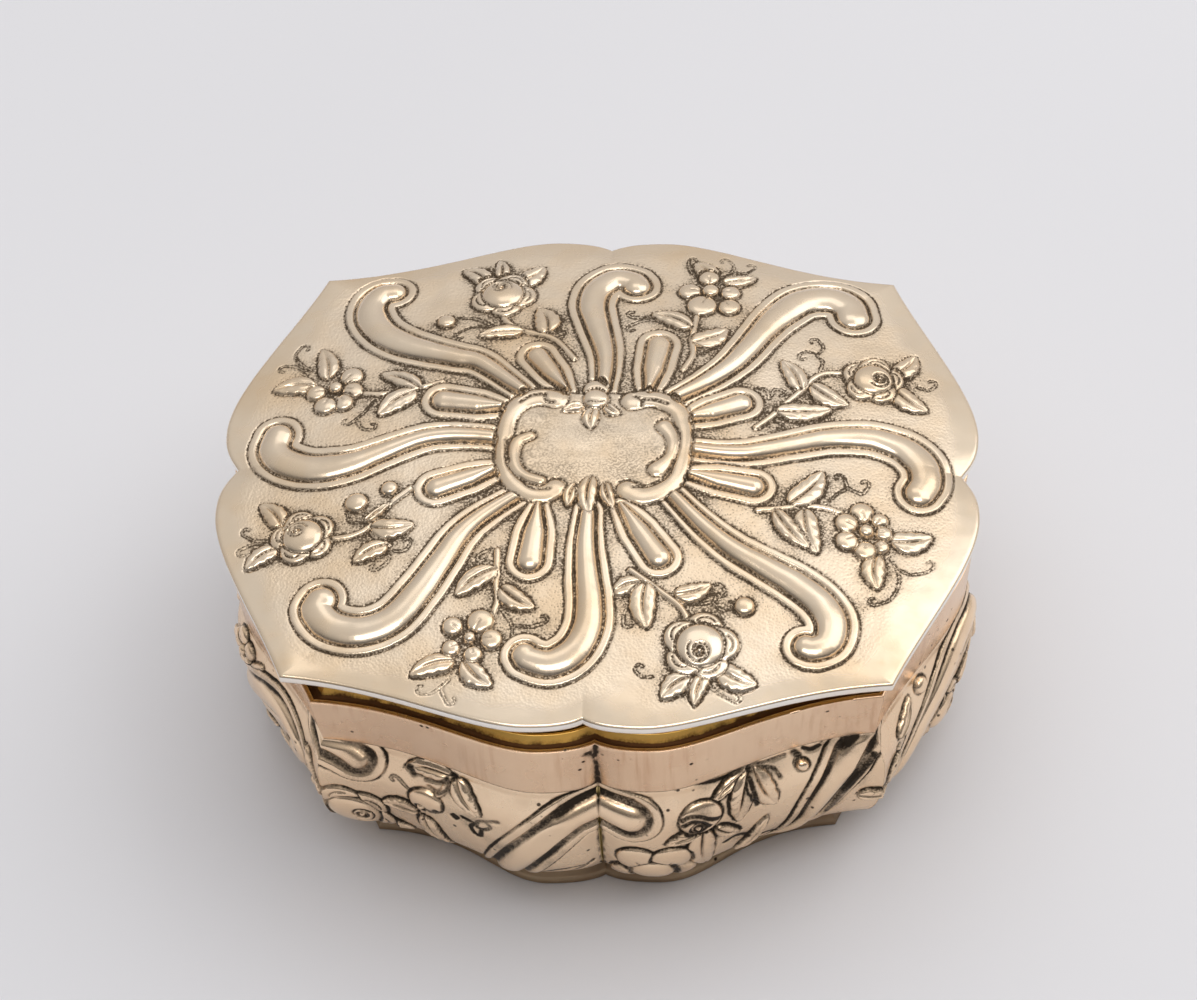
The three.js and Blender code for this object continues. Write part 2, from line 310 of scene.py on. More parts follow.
def smooth_path(points: Path, widths: tuple[float, ...], step: float = 0.7) -> tuple[np.ndarray, np.ndarray]:
    """A Catmull-Rom curve through points, sampled at even steps, with widths joined along it.

    Args:
        points: Points to pass through.
        widths: Half widths spread evenly over the points.
        step: Distance between samples.

    Returns:
        The samples and their half widths.
    """
    p = np.array(points, dtype=float)
    ends = np.concatenate([[2 * p[0] - p[1]], p, [2 * p[-1] - p[-2]]])
    t = np.linspace(0, 1, SPAN_STEPS, endpoint=False)[:, None]
    spans = []
    for a, b, c, d in zip(ends[:-3], ends[1:-2], ends[2:-1], ends[3:]):
        square = (2 * a - 5 * b + 4 * c - d) * t**2
        cube = (3 * b - a - 3 * c + d) * t**3
        spans.append(0.5 * (2 * b + (c - a) * t + square + cube))
    dense = np.concatenate([*spans, p[-1:]])
    length = np.concatenate([[0], np.cumsum(np.hypot(*np.diff(dense, axis=0).T))])
    even = np.linspace(0, length[-1], max(3, int(length[-1] / step)))
    samples = np.stack([np.interp(even, length, dense[:, i]) for i in (0, 1)], -1)
    spread = np.interp(even / length[-1], np.linspace(0, 1, len(widths)), widths)
    return samples, spread


class Relief:
    """Chased relief over a grid of flat places: its height, its dirt (which also holds painted shade) and
    its matting, all from 0 upwards.
    """

    def __init__(self, x: np.ndarray, y: np.ndarray, line: float = 1.0) -> None:
        """Starts with flat, clean, matted ground.

        Args:
            x: Places across, in mm.
            y: Places up, in mm.
            line: Scale for the widths of cut lines.
        """
        self.line = line
        self.shape = x.shape
        self.x = x.ravel()
        self.y = y.ravel()
        self.height = np.zeros(self.x.size)
        self.dirt_and_shade = np.zeros(self.x.size)
        self.matt = np.ones(self.x.size)
        self.wobble = waves(self.x, self.y, HAND_WOBBLE)

    def near(self, points: np.ndarray, reach: float) -> np.ndarray:
        """Finds the places within reach of the box round some points.

        Args:
            points: The points, one row each.
            reach: How far past their box, in mm.

        Returns:
            Indices of the places.
        """
        low, high = points.min(axis=0) - reach, points.max(axis=0) + reach
        inside = (self.x > low[0]) & (self.x < high[0]) & (self.y > low[1]) & (self.y < high[1])
        return np.flatnonzero(inside)

    def path_field(self, at: np.ndarray, path: np.ndarray,
                   widths: np.ndarray) -> tuple[np.ndarray, np.ndarray]:
        """Measures the places against a path of swelling width.

        For each straight stretch: the distance to it less the half width there; the least of them holds.

        Args:
            at: Indices of the places.
            path: Points of the path.
            widths: Half width at each point.

        Returns:
            Distance from the path's edge, negative inside, and the share of the way out from its middle.
        """
        x, y = self.x[at], self.y[at]
        gap = np.full(at.size, 1e9)
        share = np.ones(at.size)
        for (ax, ay), (bx, by), wa, wb in zip(path[:-1], path[1:], widths[:-1], widths[1:]):
            dx, dy = bx - ax, by - ay
            t = np.clip(((x - ax) * dx + (y - ay) * dy) / (dx * dx + dy * dy), 0, 1)
            far = np.hypot(x - ax - t * dx, y - ay - t * dy)
            half = wa + t * (wb - wa)
            closer = far - half < gap
            gap = np.where(closer, far - half, gap)
            share = np.where(closer, far / half, share)
        return gap, share

    def press(self, at: np.ndarray, gap: np.ndarray, lift: np.ndarray, line: float = 0.22, cut: float = 0.18,
              soil: float = 0.9, out: float = 0.1) -> None:
        """Raises a motif and cuts a line round it.

        The edge wanders by the hand's wobble. The old height gives way to the lift inside it, over a fifth
        of a millimetre, and a bell-shaped line is cut just outside it.

        Args:
            at: Indices of the places.
            gap: Distance from the motif's edge, negative inside.
            lift: Height inside.
            line: Half width of the cut line.
            cut: Depth of the line.
            soil: Dirt left in the line.
            out: How far outside the edge the line's middle runs.
        """
        line, out = line * self.line, out * self.line
        gap = gap + self.wobble[at]
        inside = soft_step(0.1, -0.12, gap)
        groove = bell(gap - out, line)
        stain = np.exp(-((np.abs(gap - out) / (1.1 * line)) ** 4))
        self.height[at] = self.height[at] * (1 - inside) + lift * inside - cut * groove
        self.dirt_and_shade[at] = np.maximum(self.dirt_and_shade[at] * (1 - inside), soil * stain)
        self.matt[at] *= 1 - inside

    def scroll(self, points: Path, widths: tuple[float, ...], lift: float = 1.4,
               bead: float = 1.5, groove: float = 0.36) -> None:
        """A fat rib with a groove and a flat bead all round it.

        The bead grows from 0.72 of its width at the root to all of it by two fifths of the way.

        Args:
            points: The rib's middle line from root to tip.
            widths: Half widths of the rib.
            lift: Height of the rib over the ground.
            bead: Width of the bead, 0 for none.
            groove: Width of the groove.
        """
        path, half = smooth_path(points, widths)
        at = self.near(path, half.max() + bead + 2.5)
        gap, share = self.path_field(at, path, half)
        if bead > 0:
            grown = 0.72 + 0.28 * soft_step(0.0, 0.4, np.linspace(0, 1, len(path)))
            rim, _ = self.path_field(at, path, half + groove + bead * grown)
            middle = 2 * (gap - groove) / np.maximum(gap - groove - rim, 0.1) - 1
            roll = 0.22 * np.clip(1 - np.abs(middle) ** 4, 0, 1) ** 0.5 + 0.12
            self.press(at, rim, roll, line=0.2, cut=0.2, soil=1.0)
        rib = lift * np.clip(1 - np.clip(share, 0, 1) ** 2.1, 0, 1) ** 0.66
        wide = groove / self.line
        self.press(at, gap, rib, line=0.6 * wide, cut=0.28, soil=1.0, out=0.46 * wide)

    def thread(self, points: Path, half: float = 0.32, lift: float = 0.3, soil: float = 0.75) -> None:
        """A thin raised line with cut sides, such as a tendril or a stem: half an ellipse across.

        Args:
            points: Points of its middle line.
            half: Half width.
            lift: Greatest height.
            soil: Dirt left beside it.
        """
        path, widths = smooth_path(points, (half, half), step=0.5)
        at = self.near(path, half + 1.2)
        gap, share = self.path_field(at, path, widths)
        self.press(at, gap, lift * np.sqrt(np.clip(1 - share**2, 0, 1)), line=0.17, cut=0.1, soil=soil)

    def tendril(self, points: Path, size: float = 0.85, shrink: float = 0.11) -> None:
        """A fine raised curl: a path that runs on into a shrinking turn, to the side that it bends to.

        Args:
            points: Points up to the curl.
            size: Radius of the turn, in mm.
            shrink: Share of the radius lost with each radian.
        """
        p = np.array(points, dtype=float)
        last, before = p[-1] - p[-2], p[-2] - p[-3] if len(p) > 2 else p[-1] - p[-2]
        side = 1.0 if before[0] * last[1] - before[1] * last[0] >= 0 else -1.0
        ahead = last / np.hypot(*last)
        across = side * np.array([-ahead[1], ahead[0]])
        turns = np.linspace(0.5, 3.4, 6)
        radius = size * (1 - shrink * turns)
        forward, aside = radius * np.sin(turns), size - radius * np.cos(turns)
        curl = p[-1] + forward[:, None] * ahead + aside[:, None] * across
        path = tuple(map(tuple, np.concatenate([p, curl])))
        self.thread(path, half=0.11, lift=0.14, soil=0.8)

    def cut_line(self, points: Path, half: float = 0.14, depth: float = 0.14, soil: float = 0.8) -> None:
        """A line cut into whatever is there, bell-shaped across.

        Args:
            points: Points of the line.
            half: Half width.
            depth: Depth in mm.
            soil: Dirt left in it.
        """
        path, widths = smooth_path(points, (half, half), step=0.5)
        at = self.near(path, 1.2)
        gap, _ = self.path_field(at, path, widths)
        groove = bell(np.maximum(gap, 0), half + 0.06)
        self.height[at] -= depth * groove
        self.dirt_and_shade[at] = np.maximum(self.dirt_and_shade[at], soil * groove)

    def leaf(self, base: Point, tip: Point, half: float, lift: float = 0.8, teeth: int = 4) -> None:
        """A broad leaf with two plump halves, a cut midrib that fades to the tip, and a toothed edge.

        Along the leaf the half width is a power of the sine of a stretched share of the length. Across each
        half the height is an arch, which meets the other half in the midrib.

        Args:
            base: Where it springs from.
            tip: Its point.
            half: Greatest half width.
            lift: Greatest height.
            teeth: Teeth along the outer part of each edge, 0 for a plain leaf.
        """
        ends = np.array([base, tip], dtype=float)
        at = self.near(ends, half + 1.5)
        axis = ends[1] - ends[0]
        length = float(np.hypot(*axis))
        axis = axis / length
        dx, dy = self.x[at] - ends[0, 0], self.y[at] - ends[0, 1]
        along = (dx * axis[0] + dy * axis[1]) / length
        across = dy * axis[0] - dx * axis[1] + 0.3 * half * (np.sin(3 * along) - 0.3)
        held = np.clip(along, 0, 1)
        width = half * np.sin(math.pi * held**0.78) ** 0.55
        if teeth:
            saw = np.abs((held * teeth + 0.5) % 1 - 0.6) / 0.6
            width = width * (1.02 - 0.13 * saw * soft_step(0.3, 0.45, held) * soft_step(1.0, 0.88, held))
        end_gap = np.maximum(-along, along - 1) * length
        gap = np.maximum(np.abs(across) - width, end_gap)
        share = np.clip(np.abs(across) / np.maximum(width, 0.05), 0, 1)
        rib = bell(across, 0.2 * self.line) * soft_step(0.88, 0.5, held)
        arch = 0.35 + 0.65 * np.clip(1 - (2 * share - 0.85) ** 2 / 1.4, 0, 1)
        ripple = 0.05 * np.cos((held * length - 0.8 * np.abs(across)) * 3.2) * share
        rise = lift * arch * (0.5 + 0.5 * np.sin(math.pi * held**0.7))
        self.press(at, gap, rise + ripple - 0.32 * rib, soil=0.95)
        vein = np.exp(-((((held * length - 0.9 * np.abs(across)) / 1.5 + 0.4) % 1 - 0.5) / 0.1) ** 2)
        vein = vein * soft_step(0.15, 0.4, share) * soft_step(0.95, 0.7, share) * soft_step(0.2, 0.35, held)
        stain = np.clip(0.9 * rib + 0.34 * self.line * vein, 0, 1) * (gap < -0.1)
        self.dirt_and_shade[at] = np.maximum(self.dirt_and_shade[at], stain)

    def boss(self, centre: Point, radius: float, lift: float = 0.8, soil: float = 0.95) -> None:
        """A round bead or bud: a dome of power 2.4 with a cut line round it.

        Args:
            centre: Its middle.
            radius: Its radius.
            lift: Its height.
            soil: Dirt left round it.
        """
        middle = np.array([centre], dtype=float)
        at = self.near(middle, radius + 1.2)
        far = np.hypot(self.x[at] - centre[0], self.y[at] - centre[1])
        dome = lift * np.sqrt(np.clip(1 - np.clip(far / radius, 0, 1) ** 2.4, 0, 1))
        self.press(at, far - radius, dome, soil=soil)

    def blossom(self, centre: Point, petals: tuple[Petal, ...], eye: float = 1.15) -> None:
        """An open flower: round petals, each laid over the last, with a button in the middle.

        Args:
            centre: Middle of the flower.
            petals: Offsets of each petal's middle and its radius.
            eye: Radius of the button.
        """
        for dx, dy, radius in petals:
            self.boss((centre[0] + dx, centre[1] + dy), radius, 0.85)
        for dx, dy, _ in petals:
            inner = (centre[0] + 0.4 * dx, centre[1] + 0.4 * dy)
            outer = (centre[0] + 0.95 * dx, centre[1] + 0.95 * dy)
            self.cut_line((inner, outer), 0.08, 0.14, 0.5)
        self.boss(centre, eye, 1.1, 1.0)

    def arc(self, centre: Point, radius: float, start: float, sweep: float, half: float = 0.13) -> None:
        """A petal's edge: a cut arc that winds in by a fifth.

        Args:
            centre: Middle of the arc.
            radius: Radius at its start.
            start: Angle at its start, in radians.
            sweep: Angle that it turns through.
            half: Half width of the cut.
        """
        turns = np.linspace(0, 1, 7)
        reach = radius * (1 - 0.2 * turns)
        angle = start + sweep * turns
        points = zip(centre[0] + reach * np.cos(angle), centre[1] + reach * np.sin(angle))
        self.cut_line(tuple(points), half, 0.26, 1.0)

    def rose(self, centre: Point, radius: float, turn: float = 0.0) -> None:
        """A full rose: broad petals round a smooth ball, whose small folded heart looks one way.

        Args:
            centre: Middle of the ball.
            radius: The ball's radius; the petals reach out to 1.6 of it.
            turn: Where the heart looks, in radians.
        """
        for i in (0, 2, 4, 1, 3):
            angle = turn + 0.5 + i * math.tau / 5
            away = (math.cos(angle), math.sin(angle))
            at = (centre[0] + 0.8 * radius * away[0], centre[1] + 0.8 * radius * away[1])
            self.boss(at, 0.78 * radius, 0.8)
            lip = (centre[0] + 0.84 * radius * away[0], centre[1] + 0.84 * radius * away[1])
            self.arc(lip, 0.52 * radius, angle - 0.9, 1.8, 0.06)
        self.boss(centre, radius, 1.55, 1.0)
        heart = (centre[0] + 0.36 * radius * math.cos(turn), centre[1] + 0.36 * radius * math.sin(turn))
        self.arc(heart, 0.52 * radius, turn - 2.2, 2.5, 0.07)
        self.arc(heart, 0.4 * radius, turn + 0.2, 2.9, 0.1)
        self.arc(heart, 0.28 * radius, turn - 2.6, 3.6, 0.12)
        self.boss(heart, 0.15 * radius, 1.5)

    def plate(self, centre: Point, half: Point, lift: float, tone: float = 0.36) -> None:
        """A plain polished field with a squared oval edge, of power 3, and an even tone of dirt on it.

        Args:
            centre: Its middle.
            half: Half its width and half its height.
            lift: Its height over the ground.
            tone: The dirt on it.
        """
        at = self.near(np.array([centre], dtype=float), max(half) + 1)
        across, up = np.abs((self.x[at] - centre[0]) / half[0]), np.abs((self.y[at] - centre[1]) / half[1])
        share = (across**3 + up**3) ** (1 / 3)
        gap = (share - 1) * min(half)
        self.press(at, gap, np.full(at.size, lift))
        self.dirt_and_shade[at] = np.maximum(self.dirt_and_shade[at], tone * soft_step(0.1, -0.5, gap))

    def blur(self, values: np.ndarray, reach: int) -> np.ndarray:
        """A bell-shaped blur over the grid, along its rows and then its columns.

        Args:
            values: One value for each place.
            reach: The bell's spread, in grid steps.

        Returns:
            The blurred values.
        """
        offsets = np.arange(-3 * reach, 3 * reach + 1)
        weights = np.exp(-0.5 * (offsets / reach) ** 2)
        weights /= weights.sum()
        grid = values.reshape(self.shape)
        for axis in (0, 1):
            margin = [(3 * reach, 3 * reach) if i == axis else (0, 0) for i in (0, 1)]
            padded = np.pad(grid, margin, mode="edge")
            size = grid.shape[axis]
            grid = sum(w * np.take(padded, np.arange(k, k + size), axis=axis) for k, w in enumerate(weights))
        return grid.ravel()

    def weather(self, fine: int, broad: int) -> None:
        """Adds dirt where the surface lies below its surroundings, in patches.

        Args:
            fine: Reach of the near surroundings, in grid steps.
            broad: Reach of the wide ones.
        """
        hollow = self.blur(self.height, fine) - self.height
        basin = self.blur(self.height, broad) - self.height
        gathered = np.clip(hollow * 3.0, 0, 1) * 0.75 + np.clip(basin * 1.1, 0, 1) * 0.3
        self.dirt_and_shade = np.clip(np.maximum(self.dirt_and_shade * 0.92, gathered), 0, 1)
        patchy = 0.82 + 0.3 * soft_noise(self.x, self.y, 5.0, 11)
        patchy = patchy + 0.12 * soft_noise(self.x, self.y, 1.1, 12)
        self.dirt_and_shade = np.clip(self.dirt_and_shade * patchy, 0, 1)

    def field(self, name: str) -> np.ndarray:
        """One of the fields in the grid's shape."""
        return getattr(self, name).reshape(self.shape)


# Degrees between faces past which an edge is shaded as sharp.
SHARP_ANGLE = 35


class Mesher:
    """Puts grids of points into meshes."""

    @staticmethod
    def normals(points: np.ndarray) -> np.ndarray:
        """Unit normals of a grid: the cross product of its differences along columns and rows.

        Args:
            points: Rows by columns by 3.

        Returns:
            A normal for each point.
        """
        across = np.gradient(points, axis=1)
        up = np.gradient(points, axis=0)
        normal = np.cross(across, up)
        return normal / np.maximum(np.linalg.norm(normal, axis=-1, keepdims=True), 1e-12)

    @staticmethod
    def faces(rows: int, columns: int, round_rows: bool, round_columns: bool) -> np.ndarray:
        """Four-sided faces of a grid, which may close on itself either way.

        Args:
            rows: Rows of points.
            columns: Columns of points.
            round_rows: True if the last row joins the first.
            round_columns: True if the last column joins the first.

        Returns:
            Four point numbers for each face.
        """
        row = np.arange(rows if round_rows else rows - 1)[:, None]
        column = np.arange(columns if round_columns else columns - 1)[None, :]
        next_row, next_column = (row + 1) % rows, (column + 1) % columns
        corners = [
            row * columns + column,
            row * columns + next_column,
            next_row * columns + next_column,
            next_row * columns + column,
        ]
        return np.stack([np.broadcast_to(c, (row.size, column.size)) for c in corners], -1).reshape(-1, 4)

    @classmethod
    def make(cls, name: str, points: np.ndarray, fields: dict[str, np.ndarray] | None = None,
             normals: np.ndarray | None = None, round_rows: bool = False, round_columns: bool = False,
             sharp: bool = False) -> bpy.types.Object:
        """Makes an object from a grid of points in mm.

        Args:
            name: Object name.
            points: Rows by columns by 3; the normal points along columns crossed with rows.
            fields: Values for each point, kept as mesh attributes.
            normals: Normals for shading, or None for the mesh's own.
            round_rows: True if the last row joins the first.
            round_columns: True if the last column joins the first.
            sharp: True to shade the steep edges as sharp.

        Returns:
            The object, at the origin.
        """
        rows, columns = points.shape[:2]
        faces = cls.faces(rows, columns, round_rows, round_columns)
        mesh = bpy.data.meshes.new(name)
        mesh.vertices.add(rows * columns)
        mesh.vertices.foreach_set("co", (points * MM).astype(np.float32).ravel())
        mesh.loops.add(faces.size)
        mesh.loops.foreach_set("vertex_index", faces.astype(np.int32).ravel())
        mesh.polygons.add(len(faces))
        mesh.polygons.foreach_set("loop_start", np.arange(0, faces.size, 4, dtype=np.int32))
        mesh.update(calc_edges=True)
        mesh.polygons.foreach_set("use_smooth", np.ones(len(faces), dtype=bool))
        for key, values in (fields or {}).items():
            layer = mesh.attributes.new(key, "FLOAT", "POINT")
            layer.data.foreach_set("value", values.astype(np.float32).ravel())
        if normals is not None:
            mesh.normals_split_custom_set_from_vertices(normals.reshape(-1, 3).tolist())
        elif sharp:
            mesh.set_sharp_from_angle(angle=math.radians(SHARP_ANGLE))
        made = bpy.data.objects.new(name, mesh)
        bpy.context.scene.collection.objects.link(made)
        return made


class Nodes:
    """A node tree with short calls for adding and joining nodes."""

    def __init__(self, tree: bpy.types.NodeTree) -> None:
        """Keeps the tree."""
        self.tree = tree

    def add(self, kind: str, inputs: dict | None = None, **settings: object) -> bpy.types.Node:
        """Adds a node, sets its options, and sets or links its inputs.

        Args:
            kind: Node type.
            inputs: Input name or number to a value or to another node's output.
            settings: Options of the node.

        Returns:
            The node.
        """
        node = self.tree.nodes.new(kind)
        for key, value in settings.items():
            setattr(node, key, value)
        for key, value in (inputs or {}).items():
            if isinstance(value, bpy.types.NodeSocket):
                self.tree.links.new(value, node.inputs[key])
            else:
                node.inputs[key].default_value = value
        return node

    def math(self, operation: str, a: object, b: object = 0.0, clamp: bool = False) -> bpy.types.NodeSocket:
        """A Math node's result."""
        return self.add("ShaderNodeMath", {0: a, 1: b}, operation=operation, use_clamp=clamp).outputs[0]

    def plus(self, a: object, b: object, clamp: bool = False) -> bpy.types.NodeSocket:
        """The sum of two values."""
        return self.math("ADD", a, b, clamp)

    def times(self, a: object, b: object, clamp: bool = False) -> bpy.types.NodeSocket:
        """The product of two values."""
        return self.math("MULTIPLY", a, b, clamp)

    def mix(self, share: object, a: object, b: object) -> bpy.types.NodeSocket:
        """A colour between a and b.

        Args:
            share: How much of b, a number or a socket.
            a: Colour or socket.
            b: Colour or socket.

        Returns:
            The colour's socket.
        """
        node = self.add("ShaderNodeMix", data_type="RGBA")
        for index, value in ((0, share), (6, a), (7, b)):
            if isinstance(value, bpy.types.NodeSocket):
                self.tree.links.new(value, node.inputs[index])
            else:
                node.inputs[index].default_value = value
        return node.outputs[2]

    def noise(self, place: bpy.types.NodeSocket, scale: float, detail: float = 3.0,
              stretch: tuple[float, float, float] = (1, 1, 1)) -> bpy.types.NodeSocket:
        """A Noise Texture's value, stretched by a Mapping node.

        Args:
            place: The place's socket.
            scale: Cells to the metre.
            detail: Octaves.
            stretch: Scale of each axis.

        Returns:
            The value's socket.
        """
        mapped = self.add("ShaderNodeMapping", {"Vector": place, "Scale": stretch}).outputs[0]
        inputs = {"Vector": mapped, "Scale": scale, "Detail": detail}
        return self.add("ShaderNodeTexNoise", inputs).outputs[0]

    def ramp(self, value: object, low: float, high: float) -> bpy.types.NodeSocket:
        """A value taken from low..high to 0..1 and held there, with a smooth cubic.

        Args:
            value: Number or socket.
            low: Taken to 0; it may lie above high.
            high: Taken to 1.

        Returns:
            The result's socket.
        """
        node = self.add("ShaderNodeMapRange", {"Value": value, "From Min": low, "From Max": high})
        node.interpolation_type = "SMOOTHSTEP"
        return node.outputs[0]


def rgba(colour: Colour) -> tuple[float, float, float, float]:
    """A colour with full alpha."""
    return (*colour, 1.0)


class AgedMetal(Nodes):
    """The shared effect: worn metal with tarnish, dirt in the hollows, matting and fine wear.

    Its sizes are the scales of its noises, in cells to the metre, so that a larger one is finer.
    """

    name = "aged_metal"
    clouds = 38
    mottle = 170
    grain = 2600
    strokes = 900
    stroke_patches = 60
    pits = 420
    pit_patches = 120
    punches = 2100
    dents = 420
    scratches = 900

    @classmethod
    def group(cls) -> bpy.types.NodeTree:
        """The effect as a node group, made once."""
        if cls.name in bpy.data.node_groups:
            return bpy.data.node_groups[cls.name]
        group = bpy.data.node_groups.new(cls.name, "ShaderNodeTree")
        for key in ("Clean", "Tarnish", "Soot"):
            group.interface.new_socket(key, in_out="INPUT", socket_type="NodeSocketColor")
        for key in ("Dirt", "Matt", "Tarnish Share", "Gloss", "Pits", "Streaks", "Crumble"):
            group.interface.new_socket(key, in_out="INPUT", socket_type="NodeSocketFloat")
        group.interface.new_socket("Color", in_out="OUTPUT", socket_type="NodeSocketColor")
        for key in ("Roughness", "Metallic", "Height"):
            group.interface.new_socket(key, in_out="OUTPUT", socket_type="NodeSocketFloat")
        cls(group).fill()
        return group

    def __init__(self, tree: bpy.types.NodeTree) -> None:
        """Adds the group's inputs, the place on the piece, the blotches and the punch marks."""
        super().__init__(tree)
        self.given = self.add("NodeGroupInput").outputs
        self.place = self.add("ShaderNodeTexCoord").outputs["Object"]
        cloudy = self.ramp(self.noise(self.place, self.clouds, 4), 0.38, 0.68)
        self.mottled = self.ramp(self.noise(self.place, self.mottle, 3), 0.42, 0.66)
        self.blotch = self.plus(self.times(cloudy, 0.7), self.times(self.mottled, 0.3))
        self.marks = self.cells(self.punches)

    def fill(self) -> None:
        """Joins everything up; roughness is the gloss, plus some for matting, dirt and mottle."""
        dirt_and_shade = self.dirt_and_shade()
        colour = self.mix(self.times(dirt_and_shade, 0.97, clamp=True), self.tarnished(), self.given["Soot"])
        rough = self.plus(self.given["Gloss"], self.times(self.given["Matt"], 0.13))
        rough = self.plus(rough, self.times(dirt_and_shade, 0.3))
        rough = self.plus(rough, self.times(self.math("SUBTRACT", self.mottled, 0.5), 0.06))
        metal = self.math("SUBTRACT", 1.0, self.times(dirt_and_shade, 0.08), clamp=True)
        results = {"Color": colour, "Roughness": rough, "Metallic": metal, "Height": self.height()}
        self.add("NodeGroupOutput", results)

    def cells(self, scale: float) -> bpy.types.NodeSocket:
        """Distance from the nearest of scattered points."""
        inputs = {"Vector": self.place, "Scale": scale}
        return self.add("ShaderNodeTexVoronoi", inputs, feature="F1").outputs["Distance"]

    def tarnished(self) -> bpy.types.NodeSocket:
        """The colour before its dirt: tarnish in blotches, and in upright streaks within patches."""
        strokes = self.ramp(self.noise(self.place, self.strokes, 3, (1, 1, 0.05)), 0.45, 0.75)
        patches = self.ramp(self.noise(self.place, self.stroke_patches, 2), 0.35, 0.6)
        streaks = self.times(self.times(strokes, patches), self.given["Streaks"])
        tarnish = self.plus(self.times(self.blotch, self.given["Tarnish Share"]), streaks, clamp=True)
        return self.mix(tarnish, self.given["Clean"], self.given["Tarnish"])

    def dirt_and_shade(self) -> bpy.types.NodeSocket:
        """Dirt, and painted shade where the piece's field holds it: the piece's own field broken up by
        grain, the punched dimples of matting, and black pits.
        """
        pit_patch = self.ramp(self.noise(self.place, self.pit_patches, 2), 0.56, 0.62)
        pit_shape = self.ramp(self.cells(self.pits), 0.2, 0.1)
        pit = self.times(pit_shape, self.times(pit_patch, self.given["Pits"]))
        speckle = self.ramp(self.noise(self.place, self.grain, 2), 0.36, 0.62)
        spread = self.times(self.math("SUBTRACT", speckle, 0.6), self.given["Crumble"])
        broken = self.times(self.given["Dirt"], self.plus(spread, 1.0))
        dimple = self.times(self.ramp(self.marks, 0.42, 0.1), self.given["Matt"])
        ground = self.times(dimple, self.plus(self.times(self.blotch, 0.2), 0.16))
        gathered = self.ramp(self.plus(broken, ground), 0.06, 0.78)
        return self.math("MAXIMUM", gathered, pit, clamp=True)

    def height(self) -> bpy.types.NodeSocket:
        """Height for the bump: punched matting, soft dents and faint scratches, added up."""
        stipple = self.times(self.times(self.marks, self.given["Matt"]), 1.2)
        dents = self.times(self.noise(self.place, self.dents, 2), 0.28)
        scratches = self.times(self.noise(self.place, self.scratches, 2, (1, 9, 1)), 0.05)
        return self.plus(self.plus(stipple, dents), scratches)


@dataclass(frozen=True)
class MetalFinish:
    """A worn metal finish: its three colours, and how strongly each kind of wear shows."""

    name: str
    clean: Colour
    tarnish: Colour
    soot_and_shade: Colour
    tarnish_share: float = 0.5
    gloss: float = 0.25
    bump: float = 0.35
    bump_depth: float = 0.00012
    pits: float = 0.0
    streaks: float = 0.0
    crumble: float = 0.25
    fields: bool = True

    def material(self) -> bpy.types.Material:
        """The finish as a material, made once."""
        if self.name in bpy.data.materials:
            return bpy.data.materials[self.name]
        made = bpy.data.materials.new(self.name)
        made.use_nodes = True
        made.node_tree.nodes.clear()
        nodes = Nodes(made.node_tree)
        dirt_and_shade, matt = 0.0, 0.0
        if self.fields:
            dirt_and_shade = nodes.add("ShaderNodeAttribute", attribute_name="dirt_and_shade").outputs["Fac"]
            matt = nodes.add("ShaderNodeAttribute", attribute_name="matt").outputs["Fac"]
        wear = nodes.add("ShaderNodeGroup", node_tree=AgedMetal.group())
        values = {
            "Clean": rgba(self.clean), "Tarnish": rgba(self.tarnish), "Soot": rgba(self.soot_and_shade), "Dirt": dirt_and_shade,
            "Matt": matt, "Tarnish Share": self.tarnish_share, "Gloss": self.gloss, "Pits": self.pits,
            "Streaks": self.streaks, "Crumble": self.crumble,
        }
        for key, value in values.items():
            if isinstance(value, bpy.types.NodeSocket):
                made.node_tree.links.new(value, wear.inputs[key])
            else:
                wear.inputs[key].default_value = value
        bump = nodes.add("ShaderNodeBump", {
            "Height": wear.outputs["Height"], "Strength": self.bump, "Distance": self.bump_depth,
        })
        shader = nodes.add("ShaderNodeBsdfPrincipled", {
            "Base Color": wear.outputs["Color"], "Roughness": wear.outputs["Roughness"],
            "Metallic": wear.outputs["Metallic"], "Normal": bump.outputs[0],
        })
        nodes.add("ShaderNodeOutputMaterial", {"Surface": shader.outputs[0]})
        return made


COVER_SILVER = MetalFinish(
    "cover_silver_chased", clean=(0.88, 0.74, 0.58), tarnish=(0.78, 0.58, 0.37), soot_and_shade=(0.1, 0.07, 0.044),
    tarnish_share=0.7, gloss=0.25, crumble=0.85,
)
CASE_SILVER = MetalFinish(
    "case_silver_chased", clean=(0.98, 0.75, 0.52), tarnish=(0.76, 0.52, 0.33), soot_and_shade=(0.012, 0.008, 0.005),
    tarnish_share=0.5, gloss=0.24, pits=0.9,
)
COLLAR_SILVER = MetalFinish(
    "case_silver_plain", clean=(0.93, 0.68, 0.465), tarnish=(0.72, 0.455, 0.285), soot_and_shade=(0.03, 0.018, 0.01),
    tarnish_share=0.5, gloss=0.26, pits=1.0, streaks=0.6,
)
# Painted shade, partly: the foot's colour is a dark brown, far darker than the case silver, standing in for
# the shade under the swelling belly as well as the foot's brownish wear.
FOOT_SILVER_SHADED = MetalFinish(
    "case_silver_foot_shaded", clean=(0.42, 0.31, 0.2), tarnish=(0.2, 0.13, 0.08), soot_and_shade=(0.03, 0.018, 0.01),
    tarnish_share=0.85, gloss=0.36, pits=1.0, fields=False,
)
